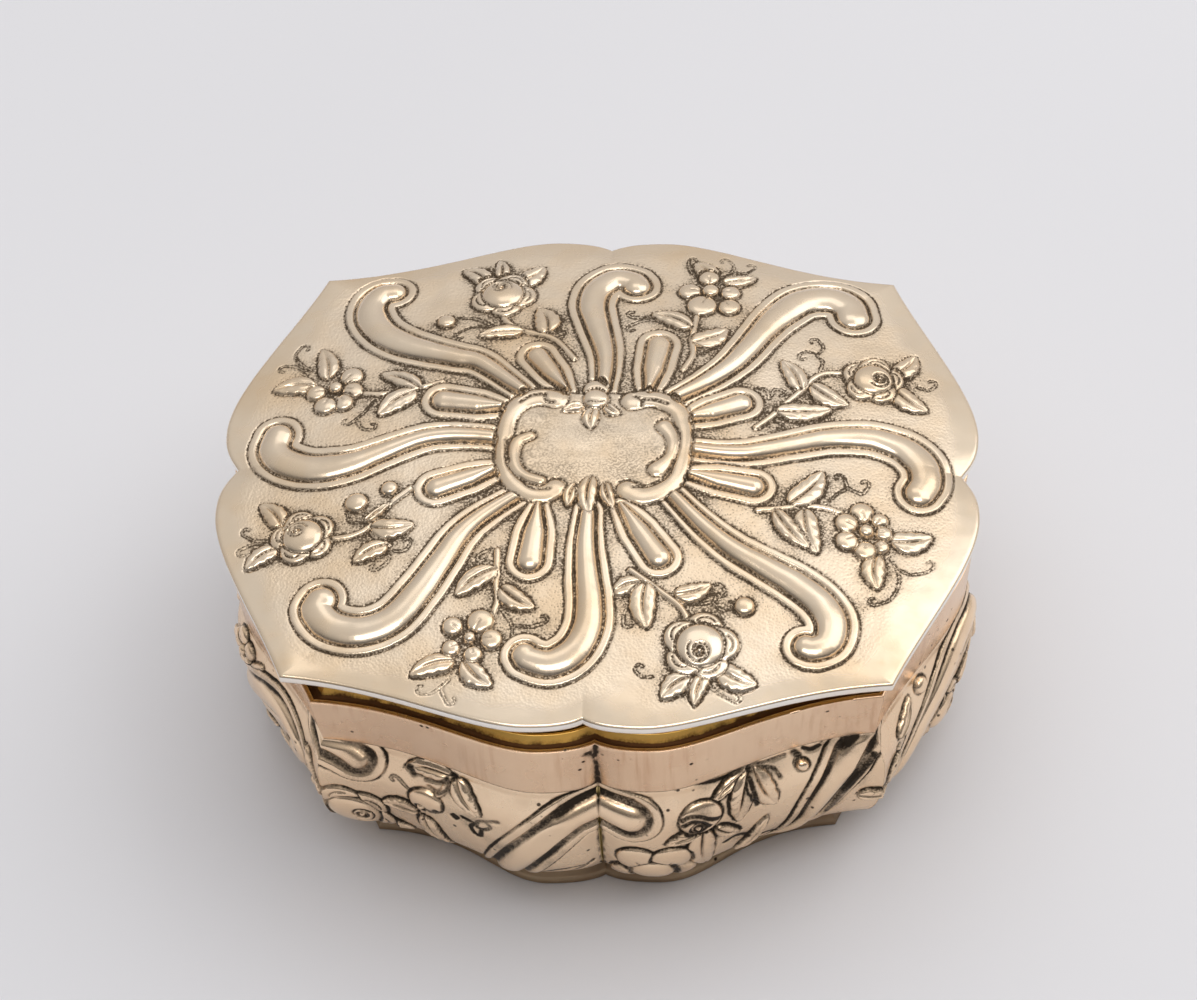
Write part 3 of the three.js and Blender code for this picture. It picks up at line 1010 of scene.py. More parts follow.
# Partly painted highlight: the rolled edge gets a near-white colour, paler than the cover's, to brighten the
# bright band along it; its lighter tarnish is wear on the rubbed edge.
EDGE_SILVER_LIT = replace(
    COVER_SILVER, name="cover_silver_edge_lit", clean=(0.97, 0.93, 0.87), tarnish_share=0.25, gloss=0.2,
    fields=False,
)
GILT = MetalFinish(
    "gilt_lining", clean=(0.95, 0.64, 0.2), tarnish=(0.7, 0.4, 0.1), soot_and_shade=(0.06, 0.03, 0.012),
    tarnish_share=0.6, gloss=0.24, bump=0.25, fields=False,
)
# Painted shade: the ledge's soot colour is the dark brown that its field paints into the channel by the
# collar, standing in for the shade in the gap under the cover.
GILT_LIP_SHADED = replace(
    GILT, name="gilt_ledge_shaded", clean=(1.0, 0.63, 0.17), tarnish=(0.98, 0.55, 0.13), soot_and_shade=(0.09, 0.034, 0.014),
    gloss=0.34, fields=True,
)


# Steps round a smooth lining, and the scale that draws the turned cover in.
LINING_STEPS = Perimeter(64, 60)
DRAWN_IN = 0.9997


def finish_piece(piece: bpy.types.Object, finish: MetalFinish, body: str,
                 nodes: tuple[str, ...]) -> bpy.types.Object:
    """Gives a piece its material and body, and hides the CAD nodes it stands for.

    Args:
        piece: The piece.
        finish: Its finish.
        body: The body that it rides on.
        nodes: CAD nodes that it stands for.

    Returns:
        The piece.
    """
    piece.data.materials.clear()
    piece.data.materials.append(finish.material())
    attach(piece, body)
    if nodes:
        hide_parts(*nodes)
    LOG.info("%s: %d faces, rides on %s", piece.name, len(piece.data.polygons), body)
    return piece


def rounded_section(corners: list[Corner], steps: int = 5) -> np.ndarray:
    """A closed section with round corners.

    Each corner is cut back along both sides by its radius and bridged by the quadratic curve
    (1-t)^2 a + 2t(1-t) corner + t^2 b.

    Args:
        corners: Depth in from the outline, height and rounding, going up outside and down inside.
        steps: Points on each rounding.

    Returns:
        Depth and height of each point.
    """
    points = np.array([c[:2] for c in corners], dtype=float)
    made = []
    for index, (_, _, radius) in enumerate(corners):
        here = points[index]
        before, after = points[index - 1] - here, points[(index + 1) % len(points)] - here
        limit = min(np.linalg.norm(before), np.linalg.norm(after)) * 0.49
        cut = min(radius, limit)
        a = here + before / np.linalg.norm(before) * cut
        b = here + after / np.linalg.norm(after) * cut
        t = np.linspace(0, 1, steps)[:, None]
        made.append((1 - t) ** 2 * a + 2 * t * (1 - t) * here + t**2 * b)
    return np.concatenate(made)


def shell(name: str, rings: np.ndarray, heights: np.ndarray,
          fields: dict[str, np.ndarray] | None = None) -> bpy.types.Object:
    """A closed shell through rings, each of them level, with the last joined to the first.

    Args:
        name: Object name.
        rings: Rings by points by x and y.
        heights: Height of each ring.
        fields: Values for each point, kept as mesh attributes.

    Returns:
        The object.
    """
    levels = np.broadcast_to(heights[:, None, None], (*rings.shape[:2], 1))
    points = np.concatenate([rings, levels], -1)
    return Mesher.make(name, points, fields, round_rows=True, round_columns=True, sharp=True)


def band(name: str, plan: np.ndarray, section: np.ndarray, around: Perimeter) -> bpy.types.Object:
    """A closed band: a section carried round the box.

    Args:
        name: Object name.
        plan: Outline sizes.
        section: Depth in from the outline, and height, of each point.
        around: Steps round the box.

    Returns:
        The object.
    """
    rings = around.rings(np.stack([CURVE.inset(plan, depth) for depth in section[:, 0]]))
    return shell(name, rings, section[:, 1])


def thin_lining(name: str, sizes: np.ndarray, heights: np.ndarray, depths: Point) -> bpy.types.Object:
    """A thin closed band against the inside of a wall: up at its outer depth and down at its inner one.

    Args:
        name: Object name.
        sizes: Outline sizes of the wall's outside at each height.
        heights: The heights, upwards.
        depths: Outer and inner depth in from those outlines.

    Returns:
        The object.
    """
    outside = np.stack([CURVE.inset(size, depths[0]) for size in sizes])
    inside = np.stack([CURVE.inset(size, depths[1]) for size in sizes[::-1]])
    rings = LINING_STEPS.rings(np.concatenate([outside, inside]))
    return shell(name, rings, np.concatenate([heights, heights[::-1]]))


def turned(points: np.ndarray, degrees: float) -> np.ndarray:
    """Points turned about the upright axis, and drawn in by a hair so that they stay in their box.

    Args:
        points: Rows of x, y and z.
        degrees: The turn, anticlockwise from above.

    Returns:
        The new points.
    """
    angle = math.radians(degrees)
    cosine, sine = math.cos(angle), math.sin(angle)
    turn = np.array([[cosine, sine, 0], [-sine, cosine, 0], [0, 0, 1]])
    return points @ turn * [DRAWN_IN, DRAWN_IN, 1]


@dataclass(frozen=True)
class Spray:
    """A flower with its leaves, stem, berries and tendrils."""

    rose: tuple[Point, float, float] | None = None
    blossom: tuple[Point, tuple[Petal, ...], float] | None = None
    leaves: tuple[tuple[Point, Point, float], ...] = ()
    stems: tuple[Path, ...] = ()
    berries: tuple[tuple[Point, float], ...] = ()
    tendrils: tuple[Path, ...] = ()

    def draw(self, relief: Relief) -> None:
        """Lays the spray down, tendrils lowest and the flower on top.

        Args:
            relief: The relief that it goes on.
        """
        for points in self.tendrils:
            relief.tendril(points)
        for points in self.stems:
            relief.thread(points, 0.55, 0.42)
        for base, tip, half in self.leaves:
            relief.leaf(base, tip, half)
        for centre, radius in self.berries:
            relief.boss(centre, radius, 0.95)
        if self.rose:
            relief.rose(*self.rose)
        if self.blossom:
            relief.blossom(*self.blossom)


COVER_SCROLLS = (
    (((-13.6, 14), (-21, 20.9), (-25.5, 22.6), (-30.5, 24.4), (-35, 26.4), (-39, 29.5), (-41.5, 33.5),
      (-41.9, 37.3), (-40.2, 40), (-38.2, 40.4)), (1.2, 1.7, 2.1, 2.7, 2.8, 2.2)),
    (((0.4, 14.5), (0.6, 19), (0.2, 24), (-1.6, 31), (-2.6, 36), (-1.8, 40.4), (1.2, 43.2), (4.2, 42.6),
      (5, 41.3)), (1.2, 1.5, 2, 2.4, 2.6, 2.5)),
    (((12.6, 12.2), (17.6, 16.1), (22.2, 20.9), (25, 25.2), (27.2, 29.3), (30.2, 34.2), (34, 38.4),
      (38.6, 39.7), (42.2, 38.2), (43.3, 35.2)), (1.2, 1.6, 2, 2.3, 2.9, 3.1, 2.9)),
    (((-16.8, 3), (-22.3, 3.7), (-26.5, 3.9), (-30.7, 3.2), (-37.3, 0.6), (-41.5, -1.1), (-45.7, -1.8),
      (-50, -1.5), (-54, 0.4), (-56, 3.2), (-55.6, 6.3)), (1.4, 1.6, 1.7, 2.1, 2.8, 2.8, 2.6)),
    (((15.5, 0.9), (20.3, 0.4), (24.8, 0.5), (29, 1.6), (34, 3.3), (39, 5.1), (44, 5.9), (48, 5.8),
      (52.4, 4.2), (55.4, 1), (55.9, -2.6), (54.8, -5.2)), (1.2, 1.5, 1.6, 1.9, 2.3, 2.8, 2.6)),
    (((-12.5, -9.4), (-18.5, -13.9), (-22.3, -18), (-25, -23), (-28.4, -29), (-32.4, -34.2), (-37.5, -36.2),
      (-42.6, -35), (-45.3, -31.8), (-44.8, -30)), (1.2, 1.7, 2.2, 2.6, 2.8, 2.7)),
    (((-0.8, -13), (-0.9, -20), (-0.4, -26), (0.2, -31), (0.1, -36), (-1.9, -40.5), (-5.6, -42.8),
      (-9.3, -42), (-10, -41.3)), (1.2, 1.7, 2.1, 2.4, 2.6, 2.2)),
    (((13.5, -9.7), (18.6, -15.5), (23.6, -19.9), (29.3, -23.4), (34.3, -26.4), (38.4, -29.8), (40.3, -33.4),
      (39.8, -37), (37.6, -38.5), (36.2, -38.3)), (1.2, 1.6, 2, 2.5, 2.7, 2.2)),
)

COVER_DROPS = (
    ((-6, 14), (-11.4, 22.6), 1.9),
    ((8.2, 13.2), (9.6, 25.6), 2.1),
    ((-15.2, 9.6), (-27, 12.2), 2.2),
    ((-15.4, -3.6), (-26.8, -7.6), 2.1),
    ((-9.2, -12), (-10.1, -23.2), 2.2),
    ((4.6, -12), (11.4, -22.2), 2.1),
    ((14.8, -4.8), (26.8, -6.7), 2),
    ((14.4, 7.2), (24.2, 11.9), 2.1),
)

CARTOUCHE_FRAME = (
    (((-7.6, 12), (-10.5, 12.4), (-13.4, 11.2), (-15.2, 8.4), (-15.9, 4), (-15.7, -1.5), (-14.4, -5.8),
      (-11.8, -8.6), (-8.6, -9.4), (-6.6, -8.2)), (2.1, 1.9, 1.5, 1.5, 1.7, 1.8, 1.9)),
    (((5.7, 11.6), (8.6, 12.2), (11.6, 11.2), (13.9, 8.8), (14.6, 4.5), (14.6, 0), (13.8, -5), (11.6, -8.2),
      (8.4, -9.6), (5.6, -8.4)), (2.1, 1.8, 1.5, 1.5, 1.6, 1.8, 1.9)),
    (((-11.6, 3.4), (-13.6, 2.2), (-14.2, -0.5), (-13.6, -3.4), (-12, -5.4), (-9.2, -6.6)),
     (1, 1.2, 1.1, 1)),
    (((11.4, 5.8), (12.6, 3.8), (12.9, 1.2), (12.2, -1.6), (10.4, -3.8)), (1.5, 1.1, 1, 1.6)),
)

CARTOUCHE_LINES = (
    ((-9.5, 12.9), (-9.2, 11.2), (-7.9, 10.9)),
    ((-13.6, 11), (-12, 12.4), (-9.6, 12.9)),
    ((5.9, 12.4), (7.3, 11.6), (7.2, 10.4)),
    ((7.3, 11.7), (9.4, 11.6), (11.6, 10.8)),
    ((-12.7, -6.2), (-10.6, -8.4), (-7.6, -8.6)),
    ((13.2, -2), (12.4, -5.4), (9.6, -7.4), (6.6, -8)),
    ((-15.6, 2.4), (-15.3, 0), (-14.9, -2.4)),
)

CARTOUCHE_LEAVES = (
    ((-2.5, 10.2), (-6.4, 9), 1.1),
    ((0.9, 10.2), (3.6, 8.2), 1.2),
    ((-1, 9.8), (-1.3, 4.7), 1.5),
    ((-3, -7.2), (-4.4, -12.3), 1.3),
    ((1.6, -7.2), (3.4, -12.4), 1.3),
    ((-0.8, -5.8), (-0.8, -13.8), 1.8),
)

COVER_SPRAYS = (
    Spray(
        rose=((-18.6, 39), 3.8, 1.9),
        leaves=(((-21.2, 42.4), (-26.2, 46.4), 2), ((-19.2, 43.6), (-19.8, 48.8), 1.4),
            ((-16.4, 41.8), (-11.6, 46.6), 2.2), ((-14.4, 29.2), (-22.2, 28), 1.7),
            ((-9.8, 28.6), (-11.8, 35.2), 2.4)),
        stems=(((-18.2, 33), (-16.9, 31.2), (-14.6, 29.4), (-10.3, 27.9), (-8, 26.2), (-5, 22)),),
        berries=(((-28.1, 31.9), 1.7),),
        tendrils=(((-26.4, 33), (-23.2, 32.7), (-20, 30.8)), ((-20.2, 30.6), (-23.6, 30.4), (-26, 28.8)),
            ((-9, 27.2), (-7.8, 27.4), (-7.2, 28))),
    ),
    Spray(
        blossom=((18.1, 40.4), ((-3.6, -0.2, 2.1), (3.5, -0.4, 1.8), (3.4, -4.3, 2), (-1.4, -4, 2.7),
            (-0.4, 3.6, 1.9)), 1.6),
        leaves=(((18.4, 43.4), (15.2, 48.2), 2.1), ((20.2, 42.8), (26.2, 44.4), 1.6),
            ((15.2, 30.6), (8, 33.8), 2), ((15.6, 26.2), (21.6, 30), 2.4)),
        stems=(((16, 34.6), (15.6, 30.8), (15.3, 27.2), (15.6, 23.6), (14, 19.4)),),
        tendrils=(((15.4, 44.6), (14.2, 46.4), (13.9, 49)), ((20, 44.4), (21.4, 45.8), (22, 47.8),
            (21, 49.6)),
            ((22, 46), (24.1, 46), (25.6, 47.4)), ((8.4, 33.2), (6.2, 32.8), (4.4, 33)),
            ((11, 31.8), (7, 32.2), (4.2, 30.6)), ((15.8, 23.8), (17.3, 23.8), (18.8, 25.4))),
    ),
    Spray(
        rose=((46.8, 19.6), 3.5, -0.3),
        leaves=(((50.4, 20.8), (54.4, 26.4), 2), ((50.2, 17.8), (56.2, 13.2), 2.2),
            ((34.6, 16.2), (31, 22.8), 2), ((30.4, 10.4), (39.9, 11.8), 2.1),
            ((36, 17), (42.6, 13), 2.1)),
        stems=(((41.8, 20.8), (38.6, 20.4), (36.2, 18.6), (34.4, 15.8), (31.9, 12.6), (29.5, 9.4),
            (26.9, 6.6)),),
        tendrils=(((37.6, 20.9), (38, 23.4), (37.1, 24.8), (38.2, 26.8), (37.2, 28.6)),
            ((37, 25.2), (35.4, 25.6), (34.2, 24.9)), ((54.6, 19), (56.4, 18.6), (57.6, 19.8)),
            ((29, 13.6), (28.6, 15.4), (27.2, 15.9)), ((29.4, 14.2), (29.8, 15.8), (31, 15.8)),
            ((27.4, 6.2), (29.5, 8.2), (31, 8))),
    ),
    Spray(
        blossom=((45.9, -14.5), ((-0.8, 3.9, 2.1), (2.2, 2.5, 1.5), (2.9, -0.2, 1.5), (2.5, -3, 1.4),
            (-0.2, -3.9, 1.9), (-3.3, -2.3, 2), (-3.4, 1.4, 2)), 1.3),
        leaves=(((50, -16.4), (57, -14.6), 2.4), ((47.3, -19.4), (47.7, -26.2), 2.1),
            ((35.2, -11), (37.6, -20), 2.3), ((30.3, -11.6), (36.2, -19), 1.8),
            ((33.2, -10.2), (38.6, -2.4), 2.4)),
        stems=(((41.5, -11), (39.2, -10.2), (35.1, -10), (31.8, -10.9), (27.6, -11.6)),),
        tendrils=(((36, -9.6), (38.8, -9.2), (40.8, -7), (42.4, -5.4), (42, -3.2)),
            ((42.6, -5.4), (45, -6.4), (46.2, -4.6)),
            ((49.8, -19.4), (51.2, -22.3), (51.2, -25), (49.8, -28), (47.4, -29.2)),
            ((51, -21.4), (53.1, -22.4), (55.6, -21.8), (57, -20.6))),
    ),
    Spray(
        rose=((18.8, -39), 4.1, -1.6),
        leaves=(((17.8, -44.4), (12.6, -48.8), 2.2), ((19.8, -44), (18, -50), 1.5),
            ((21.6, -43.2), (28.2, -46), 2.3), ((8.7, -27.2), (3.8, -29.6), 1.9),
            ((9.2, -27.4), (9.8, -36), 2.3), ((14.4, -29.8), (20.4, -27.4), 1.9)),
        stems=(((16.8, -34.4), (15.2, -31.6), (12, -28.9), (9.6, -27), (6.8, -24.8)),),
        berries=(((25.9, -31.2), 1.75),),
        tendrils=(((20.2, -27.6), (21.6, -27), (22.6, -28.2)), ((14.9, -30.2), (18, -31), (20.6, -30.4)),
            ((20.8, -30.8), (22.2, -32), (24, -31.6)), ((7.6, -30.4), (6.2, -32.8), (6, -35)),
            ((20.4, -45.8), (22.2, -47.6), (24.6, -48.8)), ((11.2, -44.8), (9.4, -44.8),
            (8.4, -43.8))),
    ),
    Spray(
        blossom=((-19.2, -38.2), ((-3, 2.3, 1.8), (1.6, 3.2, 2.3), (3.6, -0.2, 1.9), (0.7, -3, 1.6),
            (-3, -1.8, 1.6)), 1.1),
        leaves=(((-21.6, -42.2), (-28.8, -44.8), 2), ((-20.2, -42.4), (-15.2, -47.2), 2.1),
            ((-15.8, -24.6), (-22.2, -29.8), 2.1), ((-14.8, -28.6), (-8.8, -32.6), 2)),
        stems=(((-15.8, -34), (-15, -31), (-15.4, -28), (-15.5, -24.8), (-15.6, -21)),),
        tendrils=(((-15.6, -20.6), (-17, -20.8), (-18.6, -21.8)), ((-14, -33), (-12.6, -35.2),
            (-12.2, -37.4)),
            ((-12.2, -35.7), (-9.6, -35.9), (-7, -35.2)), ((-22.2, -45.6), (-23.4, -47.2),
            (-22.4, -49.6)),
            ((-23.4, -46.8), (-25.2, -48), (-26.8, -48))),
    ),
    Spray(
        rose=((-49, -16.6), 3.6, 2.6),
        leaves=(((-52.6, -14), (-57, -8.8), 2), ((-53.2, -18.4), (-58.4, -22.6), 1.9),
            ((-37.4, -15.8), (-30, -15.4), 2.2), ((-34.4, -19.2), (-40, -22.6), 1.9),
            ((-38.6, -14.4), (-34.6, -10.4), 0.9)),
        stems=(((-44, -17.4), (-40.4, -16.9), (-37.6, -15.2), (-35.7, -12), (-34.1, -10.1), (-31, -7.2)),
            ((-37, -16.6), (-35.6, -18.2), (-34.2, -19.4))),
        berries=(((-40.4, -10), 2), ((-34.9, -7.4), 1.5)),
        tendrils=(((-41.8, -12.2), (-41, -14), (-38.8, -14.2)), ((-54, -16.6), (-57.2, -16.6),
            (-59.4, -15.2)),
            ((-54.4, -17.6), (-57.2, -17.2), (-59.6, -18.2)), ((-34.2, -20), (-33.9, -22.4),
            (-35.6, -24.2)),
            ((-33.2, -20.6), (-31.4, -20.6), (-30.4, -19.2))),
    ),
    Spray(
        blossom=((-46.4, 16.6), ((2.6, 2.6, 2.1), (3.1, -0.9, 1.9), (1.6, -3.6, 1.9), (-1.5, -4, 2),
            (-3.4, -0.8, 1.8)), 1.3),
        leaves=(((-50, 17.8), (-57.6, 17.2), 2.2), ((-47.8, 19), (-49.6, 26.6), 2),
            ((-31.2, 15.4), (-38.6, 19.4), 1.9), ((-32.2, 14.8), (-38.4, 9.4), 2.3)),
        stems=(((-41.4, 14.9), (-38, 14.5), (-34.6, 15), (-30.1, 15.9), (-27.6, 16.6)),),
        tendrils=(((-51.2, 21.6), (-53.4, 23.6), (-54.5, 25.6), (-53.6, 27.6)),
            ((-51.6, 20.8), (-54.1, 22.8), (-56.2, 23.2)), ((-39.2, 13), (-41, 10.2), (-43.2, 8)),
            ((-41.8, 8.2), (-40.8, 6.6), (-39.4, 6.2))),
    ),
)


@dataclass
class CoverSheet:
    """The domed, chased cover: a relief over a grid that runs from side to side of its outline."""

    columns: int = 601
    rows: int = 533
    under_columns: int = 161
    under_rows: int = 141
    under_share: float = 0.985
    under: float = 0.8
    ground: float = -0.25
    edge_from: float = 0.99
    edge_span: float = 0.01
    edge_drop: float = 0.3
    bearings: int = 721
    smoothing: float = 22
    smoothing_reach: int = 60
    matting_reach: int = 14
    halo_reach: int = 6
    halo_gain: float = 1.8
    halo_floor: float = 0.07
    halo_most: float = 0.42

    def plan_grid(self, columns: int, rows: int) -> tuple[np.ndarray, np.ndarray]:
        """Even grid over the outline: a Coons patch, the two ruled surfaces less the corners' bilinear one.

        Args:
            columns: Points across, an odd number.
            rows: Points up, an odd number.

        Returns:
            x and y.
        """
        long_q, _ = CURVE.even_places(COVER, True, (columns + 1) // 2)
        short_q, _ = CURVE.even_places(COVER, False, (rows + 1) // 2)
        along, out = CURVE.half_side(COVER, long_q, True)
        side, reach = CURVE.half_side(COVER, short_q, False)
        edge_x = np.concatenate([-along[::-1], along[1:]])
        edge_y = np.concatenate([out[::-1], out[1:]])
        end_y = np.concatenate([-side[::-1], side[1:]])
        end_x = np.concatenate([reach[::-1], reach[1:]])
        s = np.linspace(-1, 1, columns)[None, :]
        t = np.linspace(-1, 1, rows)[:, None]
        x = edge_x[None, :] + s * end_x[:, None] - s * COVER[0]
        y = t * edge_y[None, :] + end_y[:, None] - t * COVER[1]
        return np.broadcast_to(x, (rows, columns)).copy(), np.broadcast_to(y, (rows, columns)).copy()

    def edge_share(self, x: np.ndarray, y: np.ndarray) -> tuple[np.ndarray, np.ndarray]:
        """Share of the way out to the edge along a ray.

        The edge's distance is tabled by its bearing. A bell-shaped average of it smooths the lobes away.

        Args:
            x: Places across.
            y: Places up.

        Returns:
            The share to the true edge, and the share to the smoothed one.
        """
        ring = Perimeter(240, 220, tuple(COVER)).rings(COVER[None])[0]
        angle = np.arctan2(ring[:, 1], ring[:, 0])
        order = np.argsort(angle)
        even = np.linspace(-math.pi, math.pi, self.bearings)
        radius = np.interp(even, angle[order], np.hypot(ring[:, 0], ring[:, 1])[order], period=math.tau)
        offsets = np.arange(-self.smoothing_reach, self.smoothing_reach + 1)
        weights = np.exp(-0.5 * (offsets / self.smoothing) ** 2)
        thrice = np.concatenate([radius[:-1]] * 3)
        start = self.bearings - 1
        soft = np.convolve(thrice, weights / weights.sum(), mode="same")[start:start + self.bearings]
        bearing, far = np.arctan2(y, x), np.hypot(x, y)
        return far / np.interp(bearing, even, radius), far / np.interp(bearing, even, soft)

    def dome(self, x: np.ndarray, y: np.ndarray) -> tuple[np.ndarray, np.ndarray]:
        """Height of the dome: its rise times one less the square of the share of the way out.

        The share is the smoothed one, and blends into the true one towards the edge.

        Args:
            x: Places across.
            y: Places up.

        Returns:
            The height, and the true share.
        """
        true, soft = self.edge_share(x, y)
        blend = soft_step(0.86, 1.0, true)
        share = soft + (true - soft) * blend
        return HEIGHTS.cover_edge + HEIGHTS.dome * (1 - share**2), true

    def draw(self, relief: Relief) -> None:
        """Lays out the ornament: the eight sprays first, then scrolls, drops and the cartouche over them.

        Args:
            relief: The relief that it goes on.
        """
        for spray in COVER_SPRAYS:
            spray.draw(relief)
        for points, widths in COVER_SCROLLS:
            relief.scroll(points, widths)
        for root, head, radius in COVER_DROPS:
            middle = (root[0] + 0.6 * (head[0] - root[0]), root[1] + 0.6 * (head[1] - root[1]))
            relief.scroll((root, middle, head), (0.5, radius * 0.85, radius), lift=1.4, bead=1.5)
        self.cartouche(relief)

    @staticmethod
    def cartouche(relief: Relief) -> None:
        """The plain field in the middle, in a frame of C-scrolls with a bud above and leaves below.

        Args:
            relief: The relief that it goes on.
        """
        relief.plate((-0.5, 1.6), (15.2, 11.6), 0.3)
        for points, widths in CARTOUCHE_FRAME:
            relief.scroll(points, widths, lift=0.62, bead=0)
        for line in CARTOUCHE_LINES:
            relief.cut_line(line, 0.16, 0.2, 0.9)
        for base, tip, half in CARTOUCHE_LEAVES:
            relief.leaf(base, tip, half, 0.95, 0)
        relief.boss((-0.8, 14.2), 2.2, 0.75)
        relief.boss((-0.7, 11.8), 2.3, 1.15)
        relief.cut_line(((-2.2, 10.9), (-0.7, 10.6), (0.8, 10.9)), 0.12, 0.12, 0.8)

    def build(self) -> None:
        """Makes the four quarters of the top and the smooth underside.

        The ground sinks a little inside the plain border, the sheet is uneven by hand, and its edge rolls
        over as a quarter of an ellipse.
        """
        x, y = self.plan_grid(self.columns, self.rows)
        relief = Relief(x, y)
        self.draw(relief)
        height, share = self.dome(x, y)
        plain = soft_step(0.905, 0.965, share)
        worked = relief.blur(1 - relief.matt, self.matting_reach).reshape(x.shape)
        matting = relief.field("matt") * (1 - plain) * soft_step(0.0, 0.09, worked)
        relief.weather(3, 9)
        rise = relief.field("height") + self.ground * (1 - soft_step(0.78, 0.97, share))
        rise = rise + waves(x, y, COVER_WAVES) * (1 - 0.5 * plain)
        bend = np.clip((share - self.edge_from) / self.edge_span, 0, 1)
        roll = self.edge_drop * (1 - np.sqrt(1 - 0.99 * bend**2))
        points = turned(np.stack([x, y, height + rise - roll], -1), HEIGHTS.cover_turn)
        normals = Mesher.normals(points)
        spread = relief.blur(relief.dirt_and_shade, self.halo_reach).reshape(x.shape)
        halo = np.clip(spread * self.halo_gain - self.halo_floor, 0, self.halo_most) * matting
        dirt_and_shade = np.clip(relief.field("dirt_and_shade") + halo, 0, 1)
        half_row, half_column = self.rows // 2, self.columns // 2
        quarters = {
            "front_left": (slice(0, half_row + 1), slice(0, half_column + 1)),
            "front_right": (slice(0, half_row + 1), slice(half_column, None)),
            "back_left": (slice(half_row, None), slice(0, half_column + 1)),
            "back_right": (slice(half_row, None), slice(half_column, None)),
        }
        for key, (rows, columns) in quarters.items():
            piece = Mesher.make(
                f"cover_{key}", points[rows, columns],
                {"dirt_and_shade": dirt_and_shade[rows, columns], "matt": matting[rows, columns]}, normals[rows, columns],
            )
            finish_piece(piece, COVER_SILVER, "lid", ("lid_cover",))
        self.underside()

    def underside(self) -> None:
        """The inside of the cover, gilt, following the dome a sheet's thickness below."""
        x, y = (self.under_share * place for place in self.plan_grid(self.under_columns, self.under_rows))
        height, _ = self.dome(x, y)
        points = np.stack([x, y, height - self.under], -1)[:, ::-1]
        piece = Mesher.make("cover_underside", turned(points, HEIGHTS.cover_turn))
        finish_piece(piece, GILT, "lid", ("lid_cover",))


WALL_SCROLLS = (
    (((-20.4, -1), (-17.8, 5), (-15.3, 10.5), (-12.3, 15.6), (-8.4, 20.9), (-4.2, 24.4), (0, 25), (3, 24.7),
      (5.4, 24)), (2.2, 2.3, 2.4, 2.45, 2.45, 2.4, 2.4, 2.6, 2.85), 1.3),
    (((50.4, 32), (46.4, 27.4), (43.7, 23.2), (41.6, 19.2), (39.9, 15), (38.4, 10.5), (36.4, 6), (33.4, 1)),
     (1.7, 2, 2.1, 2, 1.8, 1.4, 1.1, 0.9), 0.9),
    (((-54, 30.6), (-50.2, 29.4), (-46.8, 28), (-44.2, 26.4)), (1.3, 1.6, 1.8, 1.9), 1.5),
    (((-98, 6), (-90, 8), (-82, 13), (-74, 19), (-67, 22.4), (-61, 20.6), (-60.4, 16),
      (-63.6, 14.4)), (1.4, 1.8, 2.2, 2.6, 2.4, 1.8), 0.9),
    (((58, -1), (60.6, 8), (65.4, 15), (72, 21), (80, 25), (88, 24.4), (91, 20),
      (88.4, 17.4)), (1.8, 2.2, 2.6, 2.6, 2.2, 1.6), 0.9),
)

WALL_LINES = (
    ((17.4, 30.6), (20.3, 29.7), (22.9, 29.5), (26.3, 29.8)),
    ((28.4, 30), (30.6, 29.3), (34.6, 29.4)),
    ((29.4, 28.8), (32, 27.6), (32.9, 25.4)),
    ((38.2, 29.7), (39.4, 28.9), (41, 29.3)),
    ((14.5, 23.4), (15.6, 24.2), (17.4, 23.8), (19.4, 22.4), (21, 21.6)),
    ((14.6, 22.2), (16, 23), (17.8, 22.2), (19.2, 20.6)),
    ((27.4, 27.6), (27.7, 24.4), (28.3, 20.4)),
    ((-31, 19), (-30.2, 18.4), (-29.8, 19.6), (-29.4, 19)),
    ((-26.8, 19), (-26.2, 18.4), (-25.8, 19), (-26.4, 19.4)),
    ((-24.9, 19.7), (-23.4, 19.4), (-22.8, 18.8), (-23.4, 17.6), (-22.8, 15.8), (-21.8, 15.6),
     (-21.4, 17.4)),
    ((-22.2, 18.2), (-22, 19.8), (-20.6, 20.6), (-19.6, 19.4), (-21, 18), (-22.2, 18.2)),
    ((-20.4, 20.7), (-19, 21.4), (-18, 21.8)),
    ((-27.2, 27.4), (-27.6, 25.4), (-29.2, 24.2), (-31, 24.6)),
    ((-27.6, 28), (-29, 26.6), (-31.6, 26.2)),
    ((22.4, 11.8), (24.8, 12.6), (26.8, 11.4)),
    ((27.8, 6.8), (30, 8.6), (33, 7.6)),
    ((1.6, 8.4), (3.4, 9.6), (5, 8.6)),
    ((-12.6, 4.6), (-8.2, 7.4), (-3.6, 8.4)),
    ((-9, 3.2), (-5.4, 6), (-1.6, 9.6)),
)

# Painted shade: broad black strokes over shallow cuts, laid along the deepest parts of grooves and hollows
# of the wall where shade falls.
WALL_PAINTED_SHADES = (
    ((49.6, 25.6), (46.9, 22.4), (44.9, 18.8), (43.4, 15), (42, 10.6)),
    ((47.6, 30.2), (44.4, 28)),
    ((36.4, 29.4), (36.9, 28.4)),
    ((-34.8, 27.8), (-34, 26.6)),
    ((27.7, 30.2), (27.8, 29)),
    ((-26.5, 29), (-26.4, 28.6)),
    ((12.6, 10.8), (13.3, 8), (12.4, 5)),
    ((-7.6, 25.4), (-3.6, 27.9), (0, 28.3), (3.6, 28.1), (6.8, 27.4), (8.6, 25.2)),
    ((-6.4, 26.9), (-3.2, 28.5), (0, 28.8), (3.2, 28.6), (6, 28.1)),
)

